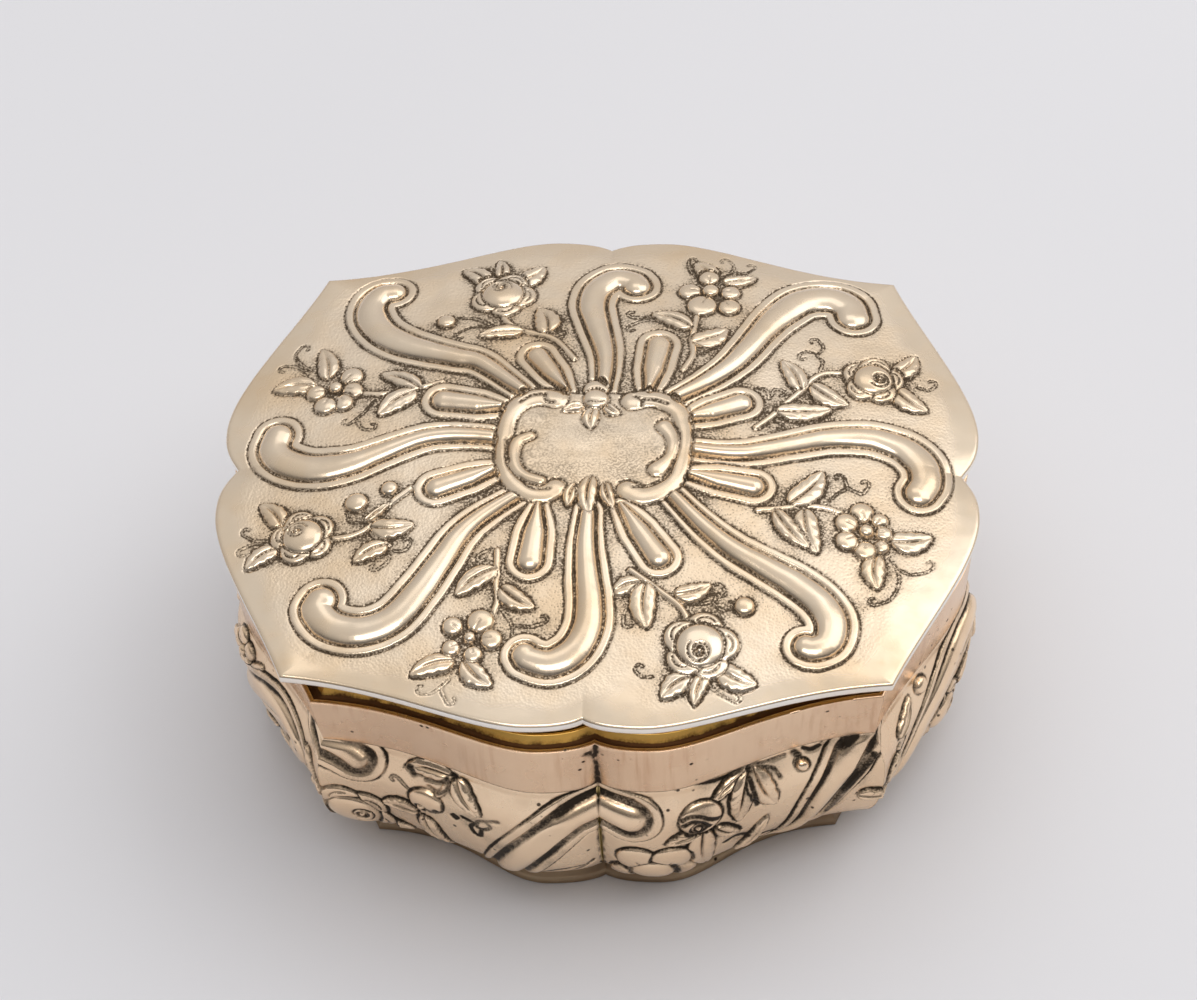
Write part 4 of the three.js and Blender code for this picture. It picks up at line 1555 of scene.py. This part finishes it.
WALL_SPRAYS = (
    Spray(
        rose=((-46.2, 11.6), 4.7, 0.2),
        leaves=(((-33.6, 16.6), (-40.2, 16.4), 2.1), ((-32.8, 15.6), (-29.8, 4.8), 2),
            ((-26.6, 28.8), (-35.8, 27.8), 2.1), ((-26.2, 28.6), (-21.4, 21.8), 2.2),
            ((-50.4, 14.4), (-54.6, 18.4), 1.8), ((-41.2, 9.6), (-36.4, 7.4), 1.8)),
        stems=(((-27.6, 27.6), (-28.4, 24.6), (-29.8, 23)),),
        berries=(((-31.6, 20.6), 3.2), ((-32.5, 19.2), 0.8)),
        tendrils=(((-34.6, 22.4), (-35.4, 23.2), (-36.8, 24.6)),),
    ),
    Spray(
        leaves=(((17.6, 18.8), (11.4, 17.4), 1.6), ((20.4, 18.4), (25.2, 14.4), 1.5), ((17.9, 18.8),
            (18.9, 5.6), 2.7),
            ((27.2, 29.4), (19.8, 25.2), 1.4), ((27.3, 29), (24.6, 18), 2.4), ((28.3, 29),
            (31.6, 19), 2.4),
            ((46.6, 14.4), (53, 14), 1.9), ((25.2, 6), (30.4, 15.6), 1.5)),
        berries=(((17.9, 22.6), 3.9), ((17.2, 20.8), 1.3), ((17.2, 20.8), 0.6), ((37.2, 26.4), 1.2)),
        tendrils=(((36.6, 28.2), (36, 27.2), (36.2, 26)),),
    ),
    Spray(
        blossom=((9.2, 7.8), ((-3, 4.6, 3.6), (3.2, 4.4, 3.7), (-4.6, -1.4, 3.4), (4.6, -1.6, 3.4),
            (0, -5.2, 3.4)), 4),
    ),
    Spray(
        blossom=((-81, 23.4), ((2.2, 1.8, 1.9), (2.2, -1.8, 1.9), (-1, -2.8, 1.9), (-3, 0, 1.9),
            (-1, 2.8, 1.9)), 1.1),
        leaves=(((-78, 20.6), (-73.6, 26.2), 1.8), ((-84, 21.6), (-90, 18.6), 1.9),
            ((-70, 10.6), (-64.8, 6.4), 1.9), ((-73.6, 9.6), (-80, 5.6), 1.9),
            ((-56.6, 24), (-53.6, 17.6), 1.8), ((-56.4, 11.6), (-53.4, 5), 1.8)),
        stems=(((-83, 20.6), (-88, 16), (-94, 14.4)), ((-76, 7), (-70.6, 8.4), (-64, 10.4))),
        berries=(((-71.8, 6.6), 2.4), ((-56.4, 14.6), 2.4), ((-93.4, 24.4), 1.7)),
        tendrils=(((-91, 22), (-94.4, 20.4), (-95.6, 23.6)), ((-60, 9), (-57.6, 6.6), (-58.6, 4))),
    ),
    Spray(
        rose=((74.6, 10.6), 4, 0.5),
        leaves=(((78, 12.6), (83.6, 17.4), 1.9), ((77.6, 8.4), (84, 5.6), 1.9), ((71.4, 8), (67, 3), 1.8),
            ((57.4, 22.6), (62.8, 27.6), 1.9), ((56.6, 20), (54.4, 12.6), 1.9),
            ((90, 12), (95.8, 8), 1.9)),
        stems=(((78.6, 10.6), (84, 11.4), (90, 11.4)), ((55.6, 6), (57.4, 14), (57, 21))),
        berries=(((90, 7.4), 1.8), ((66.4, 27), 1.6)),
        tendrils=(((86, 11.4), (87.4, 14), (89.6, 13.6)), ((60.4, 24.6), (60, 20.6), (58.6, 18.6))),
    ),
)


@dataclass
class CaseWall:
    """The swelling, chased wall of the case, in four quarters, and its gilt lining."""

    long_count: int = 256
    short_count: int = 240
    rows: int = 152
    depth: float = 0.45
    deepest: float = 0.66
    reach_x: float = 65.07
    reach_y: float = 55.27
    wall: float = 0.8
    lining: float = 0.04
    eased_top: float = 1.8
    line_scale: float = 1.35
    seam: float = 0.6
    matting: float = 0.35
    halo_reach: int = 8
    halo_gain: float = 1.5
    halo_floor: float = 0.16
    halo_most: float = 0.3

    def levels(self, shares: np.ndarray) -> tuple[np.ndarray, np.ndarray]:
        """Outline sizes and heights up the wall: a Catmull-Rom curve through foot, flank, belly and neck.

        Args:
            shares: Shares of the way up, by level.

        Returns:
            Outline sizes and heights.
        """
        bottom = HEIGHTS.foot + HEIGHTS.seam
        stations = np.array([
            [bottom, *FOOT], [HEIGHTS.flank, *FLANK], [HEIGHTS.belly, *BELLY], [HEIGHTS.neck, *NECK],
        ])
        place = shares * 3
        index = np.clip(place.astype(int), 0, 2)
        w = (place - index)[:, None]
        a, b = stations[np.maximum(index - 1, 0)], stations[index]
        c, d = stations[index + 1], stations[np.minimum(index + 2, 3)]
        start, end = (c - a) / 2, (d - b) / 2
        cube = (2 * b - 2 * c + start + end) * w**3
        square = (-3 * b + 3 * c - 2 * start - end) * w**2
        made = cube + square + start * w + b
        return made[:, 1:], made[:, 0]

    def rising(self, count: int) -> tuple[np.ndarray, np.ndarray]:
        """Parts the wall's rise over a lobe into equal lengths.

        Args:
            count: How many levels.

        Returns:
            The shares of the way up, and the length up to each.
        """
        shares = np.linspace(0, 1, 801)
        sizes, heights = self.levels(shares)
        out = sizes[:, 3] + sizes[:, 5]
        length = np.concatenate([[0], np.cumsum(np.hypot(np.diff(out), np.diff(heights)))])
        even = np.linspace(0, length[-1], count)
        return np.interp(even, length, shares), even

    def build(self) -> None:
        """Makes the four quarters and the lining.

        Each side's ornament is used in front and, turned half round, behind. Grooves are shallower where
        the wall slopes inwards, so that they stay clear of the lining, and the relief eases out below the
        collar.
        """
        around = Perimeter(self.long_count, self.short_count)
        long_q, short_q, distance = around.places()
        shares, rise = self.rising(self.rows)
        sizes, heights = self.levels(shares)
        x, y = CURVE.quarter(sizes[:, None, :], long_q, short_q)
        z = np.broadcast_to(heights[:, None], x.shape)
        u, v = np.meshgrid(distance, rise)
        reliefs = {side: self.chased(side * u, v) for side in (1, -1)}
        quarters = {
            "front_right": (1, -1, 1), "back_right": (1, 1, -1), "back_left": (-1, 1, 1),
            "front_left": (-1, -1, -1),
        }
        for key, (sign_x, sign_y, side) in quarters.items():
            relief = reliefs[side]
            flat = np.stack([sign_x * x, sign_y * y, z], -1)
            fields = [relief.field(name) for name in ("height", "dirt_and_shade", "matt")]
            if side < 0:
                flat, fields = flat[:, ::-1], [f[:, ::-1] for f in fields]
            height, dirt_and_shade, matt = fields
            out = Mesher.normals(flat)
            below = soft_step(rise[-1], rise[-1] - self.eased_top, v)
            lift = np.minimum(height, 0) + (np.maximum(height, 0) - self.depth) * below
            lift = np.maximum(lift, -self.deepest * np.hypot(out[..., 0], out[..., 1]))
            points = flat + out * lift[..., None]
            for axis, reach in ((0, self.reach_x), (1, self.reach_y)):
                points[..., axis] = self.held_in(points[..., axis], reach)
            piece = Mesher.make(f"wall_{key}", points, {"dirt_and_shade": dirt_and_shade, "matt": matt}, Mesher.normals(points))
            finish_piece(piece, CASE_SILVER, "case", ("body_wall",))
        self.line_inside()

    @staticmethod
    def held_in(value: np.ndarray, reach: float, ease: float = 0.12) -> np.ndarray:
        """A coordinate eased back so that it never passes a reach.

        The gap g left to the reach becomes ease times ln(1 + e^(g/ease)), which is g where there is room.

        Args:
            value: The coordinate.
            reach: How far it may go, either way.
            ease: How softly it is held.

        Returns:
            The eased coordinate.
        """
        gap = reach - np.abs(value)
        return np.sign(value) * (reach - ease * np.logaddexp(0, gap / ease))

    def chased(self, u: np.ndarray, v: np.ndarray) -> Relief:
        """The wall's ornament, with its smudges, broad strokes of painted shade, and the dark seam down the
        cusp.

        Args:
            u: Distance round from the front cusp.
            v: Distance up the wall.

        Returns:
            The relief.
        """
        relief = Relief(u, v, self.line_scale)
        for spray in WALL_SPRAYS:
            spray.draw(relief)
        for points, widths, groove in WALL_SCROLLS:
            relief.scroll(points, widths, lift=0.95, bead=1.6, groove=groove)
        for line in WALL_LINES:
            relief.cut_line(line, half=0.24, depth=0.22, soil=1.0)
        # Broad, shallow cuts filled with black: painted shade.
        for line in WALL_PAINTED_SHADES:
            relief.cut_line(line, half=0.4, depth=0.16, soil=1.0)
        relief.weather(4, 11)
        smudge = np.clip(0.75 + 0.6 * soft_noise(relief.x, relief.y, 3.0, 12), 0, 1.4)
        spread = relief.blur(relief.dirt_and_shade, self.halo_reach)
        halo = np.clip(spread * self.halo_gain - self.halo_floor, 0, self.halo_most) * smudge
        seam = bell(relief.x, self.seam) * (0.55 + 0.4 * soft_noise(relief.x * 0, relief.y, 1.4, 7))
        relief.dirt_and_shade = np.clip(np.maximum(np.maximum(relief.dirt_and_shade, halo), seam), 0, 1)
        relief.height += waves(relief.x, relief.y, WALL_WAVES)
        relief.matt *= self.matting
        return relief

    def line_inside(self) -> None:
        """The gilt inside of the wall: a thin band from the base to the neck."""
        sizes, heights = self.levels(np.linspace(0, 1, 26))
        piece = thin_lining("wall_lining", sizes, heights, (self.wall - self.lining, self.wall))
        finish_piece(piece, GILT, "case", ("body_wall",))


@dataclass
class Collar:
    """The plain neck band, with the soldered seam at the front."""

    long_count: int = 180
    short_count: int = 120
    rows: int = 34
    wall: float = 0.9
    lap: float = 0.05
    rounding: float = 0.25
    lining: float = 0.03
    lining_drop: float = 0.3
    seam: float = 0.6
    smear: float = 1.8

    def build(self) -> None:
        """Makes the band: its outside in fine steps, a rounded rim, its inside, and the gilt lining."""
        bottom, top = HEIGHTS.neck - self.lap, HEIGHTS.rim
        sizes, heights = self.section(bottom, top)
        around = Perimeter(self.long_count, self.short_count)
        u, z = np.broadcast_arrays(around.way_round()[None, :], heights[:, None])
        outside = np.arange(len(heights))[:, None] < self.rows
        dirt_and_shade = np.clip(self.soil(u, z, bottom, top) * outside, 0, 1)
        wave = 0.05 * soft_noise(u, z, 6.0, 25) * outside
        rings = around.rings(sizes) * (1 + wave / 60)[..., None]
        piece = shell("collar_band", rings, heights, {"dirt_and_shade": dirt_and_shade, "matt": np.zeros_like(dirt_and_shade)})
        finish_piece(piece, COLLAR_SILVER, "case", ("collar",))
        levels = np.array([bottom, top - self.lining_drop])
        depths = (self.wall - self.lining, self.wall + self.lining)
        lining = thin_lining("collar_lining", np.stack([NECK, RIM]), levels, depths)
        finish_piece(lining, GILT, "case", ("collar",))

    def section(self, bottom: float, top: float) -> tuple[np.ndarray, np.ndarray]:
        """The band's section: up outside, over the rim and down inside.

        Args:
            bottom: Height of its lower edge.
            top: Height of its rim.

        Returns:
            Outline sizes and heights.
        """
        shares = np.linspace(0, 1, self.rows)
        outer = NECK + (RIM - NECK) * shares[:, None]
        outer_z = bottom + (top - self.rounding - bottom) * shares
        lip = [
            (0.06, top - 0.1), (self.rounding, top), (self.wall - self.rounding, top),
            (self.wall - 0.05, top - 0.12),
        ]
        lip_sizes = np.stack([CURVE.inset(RIM, depth) for depth, _ in lip])
        inner = np.stack([CURVE.inset(RIM, self.wall), CURVE.inset(NECK, self.wall)])
        heights = np.concatenate([outer_z, [z for _, z in lip], [top - self.lining_drop, bottom]])
        return np.concatenate([outer, lip_sizes, inner]), heights

    def soil(self, u: np.ndarray, z: np.ndarray, bottom: float, top: float) -> np.ndarray:
        """Dirt: a crooked seam with a smear and a blot beside it, and a line along the foot of the band.

        Args:
            u: Distance round from the front cusp.
            z: Height.
            bottom: Height of the lower edge.
            top: Height of the rim.

        Returns:
            The dirt.
        """
        off = u - (0.35 * soft_noise(z * 0, z, 1.6, 21) + 0.12 * soft_noise(z * 0, z, 0.5, 22))
        seam = bell(off, self.seam) * (0.7 + 0.7 * soft_noise(u, z, 0.7, 23))
        blot = np.exp(-(((u + 1.4) / 1.1) ** 2) - ((z - top + 2.2) / 0.7) ** 2)
        blot = 1.2 * blot * (0.7 + soft_noise(u, z, 0.5, 27))
        smear = 0.4 * bell(off, self.smear) * (0.6 + 0.6 * soft_noise(u, z, 1.2, 24)) + blot
        return seam + smear + 0.55 * bell(z - bottom, 0.35)


@dataclass
class FootRing:
    """The foot: an upright band over a thin, rounded flange."""

    flange: float = 0.5
    setback: float = 0.8
    flange_height: float = 1.2
    bulge_height: float = 0.45
    waist_rise: float = 0.5
    inner: float = 3.0

    def build(self) -> None:
        """Makes the foot from one rounded section."""
        top = HEIGHTS.foot + HEIGHTS.seam
        waist = self.flange_height + self.waist_rise
        section = rounded_section([
            (-self.flange * 0.5, 0.0, 0.3), (-self.flange, self.bulge_height, 0.4),
            (-self.flange * 0.8, self.flange_height, 0.4), (-0.1, waist, 0.7), (0.25, top - 0.5, 0.4),
            (0.1, top, 0.1), (self.inner, top, 0.3), (self.inner, 0.0, 0.3),
        ]) + [self.setback, 0.0]
        piece = band("foot_band", FOOT, section, Perimeter(100, 90))
        # The foot's finish carries painted shade in its colour.
        finish_piece(piece, FOOT_SILVER_SHADED, "case", ("foot_ring",))


@dataclass
class CoverEdge:
    """The rolled edge of the cover."""

    width: float = 1.9
    swell_height: float = 0.6
    top_gap: float = 0.4

    def build(self) -> None:
        """Makes the edge from a rounded section that meets the cover's top."""
        low, high = HEIGHTS.cover_bottom, HEIGHTS.cover_edge
        section = rounded_section([
            (0.45, low, 0.4), (0.02, low + self.swell_height, 0.7), (0.03, high - 0.27, 0.1),
            (0.5, high - self.top_gap, 0.1), (self.width, high - 0.6, 0.2), (self.width, low, 0.4),
        ], 6)
        piece = band("cover_edge_roll", COVER, section, Perimeter(150, 140, tuple(COVER)))
        places = np.empty(len(piece.data.vertices) * 3, dtype=np.float32)
        piece.data.vertices.foreach_get("co", places)
        places = turned(places.reshape(-1, 3), HEIGHTS.cover_turn)
        piece.data.vertices.foreach_set("co", places.astype(np.float32).ravel())
        # The edge's finish carries a painted highlight in its colour.
        finish_piece(piece, EDGE_SILVER_LIT, "lid", ("lid_edge_wire",))


@dataclass
class Bezel:
    """The gilt band under the cover that slips inside the rim."""

    ledge_width: float = 2.5
    ledge_drop: float = 1.6
    collar_height: float = 11.5
    collar_wall: float = 0.9
    ledge_gap: float = 0.3
    clearance: float = 0.3
    wall: float = 0.9
    hold: float = 1.6

    def build(self) -> None:
        """Makes the band upright, up into the underside of the cover."""
        lean = RIM + (NECK - RIM) * self.ledge_drop / self.collar_height
        opening = CURVE.inset(lean, self.collar_wall + self.ledge_gap + self.ledge_width)
        low, top = HEIGHTS.bezel_bottom, HEIGHTS.cover_bottom + self.hold
        inside = self.clearance + self.wall
        section = rounded_section([
            (self.clearance, low, 0.2), (self.clearance, top, 0.05), (inside, top, 0.05), (inside, low, 0.2),
        ])
        piece = band("bezel_band", opening, section, Perimeter(100, 90))
        finish_piece(piece, GILT, "lid", ("lid_bezel",))


@dataclass
class LedgeLip:
    """The gilt ledge inside the rim: a channel by the collar, darkened with painted shade, then a bright
    slope up to the band.
    """

    outside: float = 1.0
    channel: float = 2.3
    crest: float = 3.5
    inside: float = 3.92
    drop: float = 1.1
    thickness: float = 0.5
    rise: float = 1.05
    shade_from: float = 2.8
    shade_full: float = 2.4

    def build(self) -> None:
        """Makes the ledge from one rounded section, with painted shade by depth: the channel's deep part is
        darkened as the shade in the gap under the cover.
        """
        low, top = HEIGHTS.ledge - self.drop, HEIGHTS.ledge + self.rise
        bed = low + self.thickness
        section = rounded_section([
            (self.outside, low, 0.1), (self.outside, bed, 0.1), (self.channel, bed, 0.5),
            (self.crest, top, 0.35), (self.inside, top, 0.2), (self.inside, low, 0.1),
        ])
        rings = Perimeter(140, 130).rings(np.stack([CURVE.inset(RIM, depth) for depth in section[:, 0]]))
        depth = section[:, 0][:, None] + 0.1 * soft_noise(rings[..., 0], rings[..., 1], 1.6, 41)
        # Painted shade: the ledge is dark out to about 2.4 mm in from the rim and fades by 2.8 mm, standing
        # in for the shade in the gap by the collar.
        dirt_and_shade = soft_step(self.shade_from, self.shade_full, depth)
        piece = shell("ledge_lip", rings, section[:, 1], {"dirt_and_shade": dirt_and_shade, "matt": np.zeros_like(dirt_and_shade)})
        finish_piece(piece, GILT_LIP_SHADED, "case", ("rim_ledge",))


class BasePlate:
    """The flat gilt bottom, which keeps its CAD shape."""

    def build(self) -> None:
        """Gives it its material."""
        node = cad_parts["base_plate"]
        node.data.materials.clear()
        node.data.materials.append(GILT.material())
        LOG.info("base_plate: CAD node, gilt")


@dataclass(frozen=True)
class Softbox:
    """A rectangular lamp aimed at the box; without diffuse it shows in the metal only."""

    name: str
    place: tuple[float, float, float]
    size: Point
    watts: float
    colour: Colour = (1.0, 0.985, 0.96)
    diffuse: bool = True
    aim: tuple[float, float, float] = (0, 0, 0.04)

    def hang(self) -> None:
        """Adds the lamp to the scene."""
        data = bpy.data.lights.new(self.name, "AREA")
        data.shape = "RECTANGLE"
        data.size, data.size_y = self.size
        data.energy = self.watts
        data.color = self.colour
        lamp = bpy.data.objects.new(self.name, data)
        lamp.location = self.place
        lamp.visible_diffuse = self.diffuse
        lamp.rotation_mode = "QUATERNION"
        lamp.rotation_quaternion = (Vector(self.aim) - Vector(self.place)).to_track_quat("-Z", "Y")
        bpy.context.scene.collection.objects.link(lamp)


SOFTBOXES = (
    Softbox("key_softbox", (0.0, 0.5, 0.96), (0.6, 0.5), 0.5),
    Softbox("side_softbox", (0.76, 0.2, 0.9), (1.0, 1.0), 3.4),
    Softbox("front_softbox", (0.05, -0.55, 0.95), (0.8, 0.4), 3.4, (1.0, 0.98, 0.95), False),
)


@dataclass
class Studio:
    """Floor, lamps, world and camera. Each pair of colours is low and high in the room."""

    floor: Colour = (0.76, 0.76, 0.79)
    floor_size: float = 4.0
    clouding: float = 0.965
    backdrop: Colour = (0.76, 0.73, 0.77)
    behind: tuple[Colour, Colour] = ((0.62, 0.6, 0.59), (0.74, 0.73, 0.72))
    ahead: tuple[Colour, Colour] = ((0.1, 0.1, 0.105), (0.6, 0.59, 0.58))
    cast_ahead: tuple[Colour, Colour] = ((0.0, 0.0, 0.0), (1.6, 1.58, 1.57))
    cast_behind: tuple[Colour, Colour] = ((0.2, 0.2, 0.2), (1.3, 1.29, 1.29))
    focal: float = 4000.0
    image_width: float = 1197.0
    sensor: float = 36.0
    pitch: float = 50.0
    roll: float = -3.73
    yaw: float = -3.85
    distance: float = 683.6
    offset: Point = (0.2, 4.6)
    aim_height: float = 52.8

    def build(self) -> None:
        """Sets up everything round the object."""
        scene = bpy.context.scene
        scene.view_settings.view_transform = "Standard"
        self.build_floor()
        self.build_world(scene)
        for softbox in SOFTBOXES:
            softbox.hang()
        self.build_camera(scene)

    def build_floor(self) -> None:
        """A plain pale floor."""
        half = self.floor_size / 2 / MM
        corners = [[[-half, -half, 0], [half, -half, 0]], [[-half, half, 0], [half, half, 0]]]
        floor = Mesher.make("studio_floor", np.array(corners, dtype=float))
        made = bpy.data.materials.new("studio_floor")
        made.use_nodes = True
        made.node_tree.nodes.clear()
        nodes = Nodes(made.node_tree)
        place = nodes.add("ShaderNodeTexCoord").outputs["Object"]
        cloud = nodes.ramp(nodes.noise(place, 3.0, 2), 0.3, 0.7)
        darker = tuple(c * self.clouding for c in self.floor)
        colour = nodes.mix(cloud, rgba(darker), rgba(self.floor))
        shader = nodes.add("ShaderNodeBsdfPrincipled", {
            "Base Color": colour, "Roughness": 0.9, "Specular IOR Level": 0.1,
        })
        nodes.add("ShaderNodeOutputMaterial", {"Surface": shader.outputs[0]})
        floor.data.materials.append(made)

    def build_world(self, scene: bpy.types.Scene) -> None:
        """A soft pale room: brighter overhead and behind the box, darker towards the viewer.

        What the metal mirrors, what lights the floor and what the camera sees are three skies.

        Args:
            scene: The scene that it is for.
        """
        world = bpy.data.worlds.new("studio")
        world.use_nodes = True
        world.node_tree.nodes.clear()
        nodes = Nodes(world.node_tree)
        ray = nodes.add("ShaderNodeTexCoord").outputs["Generated"]
        right, back, up = nodes.add("ShaderNodeSeparateXYZ", {"Vector": ray}).outputs
        rise = nodes.ramp(up, 0.05, 0.9)
        behind = nodes.mix(rise, *map(rgba, self.behind))
        ahead = nodes.mix(rise, *map(rgba, self.ahead))
        cast_ahead = nodes.mix(nodes.ramp(up, 0.5, 0.98), *map(rgba, self.cast_ahead))
        cast_behind = nodes.mix(rise, *map(rgba, self.cast_behind))
        room = nodes.mix(nodes.ramp(back, -0.5, 0.3), ahead, behind)
        cast = nodes.mix(nodes.ramp(back, -0.05, 0.45), cast_ahead, cast_behind)
        path = nodes.add("ShaderNodeLightPath").outputs
        mirrored = nodes.math("MAXIMUM", path["Is Glossy Ray"], path["Is Transmission Ray"])
        lit = nodes.mix(mirrored, cast, room)
        colour = nodes.mix(path["Is Camera Ray"], lit, rgba(self.backdrop))
        strength = nodes.plus(nodes.times(nodes.ramp(right, -0.8, 0.2), 0.2), 0.82)
        background = nodes.add("ShaderNodeBackground", {"Color": colour, "Strength": strength})
        nodes.add("ShaderNodeOutputWorld", {"Surface": background.outputs[0]})
        scene.world = world

    def build_camera(self, scene: bpy.types.Scene) -> None:
        """A long lens that looks down at the front of the box.

        Args:
            scene: The scene whose camera it becomes.
        """
        pitch, roll = math.radians(self.pitch), math.radians(self.roll)
        right = Vector((1, 0, 0))
        up = Vector((0, math.sin(pitch), math.cos(pitch)))
        forward = Vector((0, math.cos(pitch), -math.sin(pitch)))
        back_turn = Matrix.Rotation(-math.radians(self.yaw), 3, "Z")
        place = -(right * self.offset[0] + up * self.offset[1] + forward * self.distance)
        x_axis = back_turn @ (right * math.cos(roll) + up * math.sin(roll))
        y_axis = back_turn @ (up * math.cos(roll) - right * math.sin(roll))
        z_axis = back_turn @ -forward
        location = (back_turn @ place + Vector((0, 0, self.aim_height))) * MM
        data = bpy.data.cameras.new("photo_camera")
        data.lens = self.focal * self.sensor / self.image_width
        data.sensor_width = self.sensor
        data.clip_start, data.clip_end = 0.01, 20
        camera = bpy.data.objects.new("photo_camera", data)
        rotation = Matrix((x_axis, y_axis, z_axis)).transposed().to_4x4()
        camera.matrix_world = Matrix.Translation(location) @ rotation
        scene.collection.objects.link(camera)
        scene.camera = camera


def main() -> None:
    """Builds the studio and then the box from the foot up."""
    logging.basicConfig(level=logging.INFO, format="%(message)s")
    Studio().build()
    parts = (
        FootRing(), CaseWall(), Collar(), LedgeLip(), BasePlate(), Bezel(), CoverEdge(), CoverSheet(),
    )
    for part in parts:
        part.build()


if __name__ == "__main__":
    main()
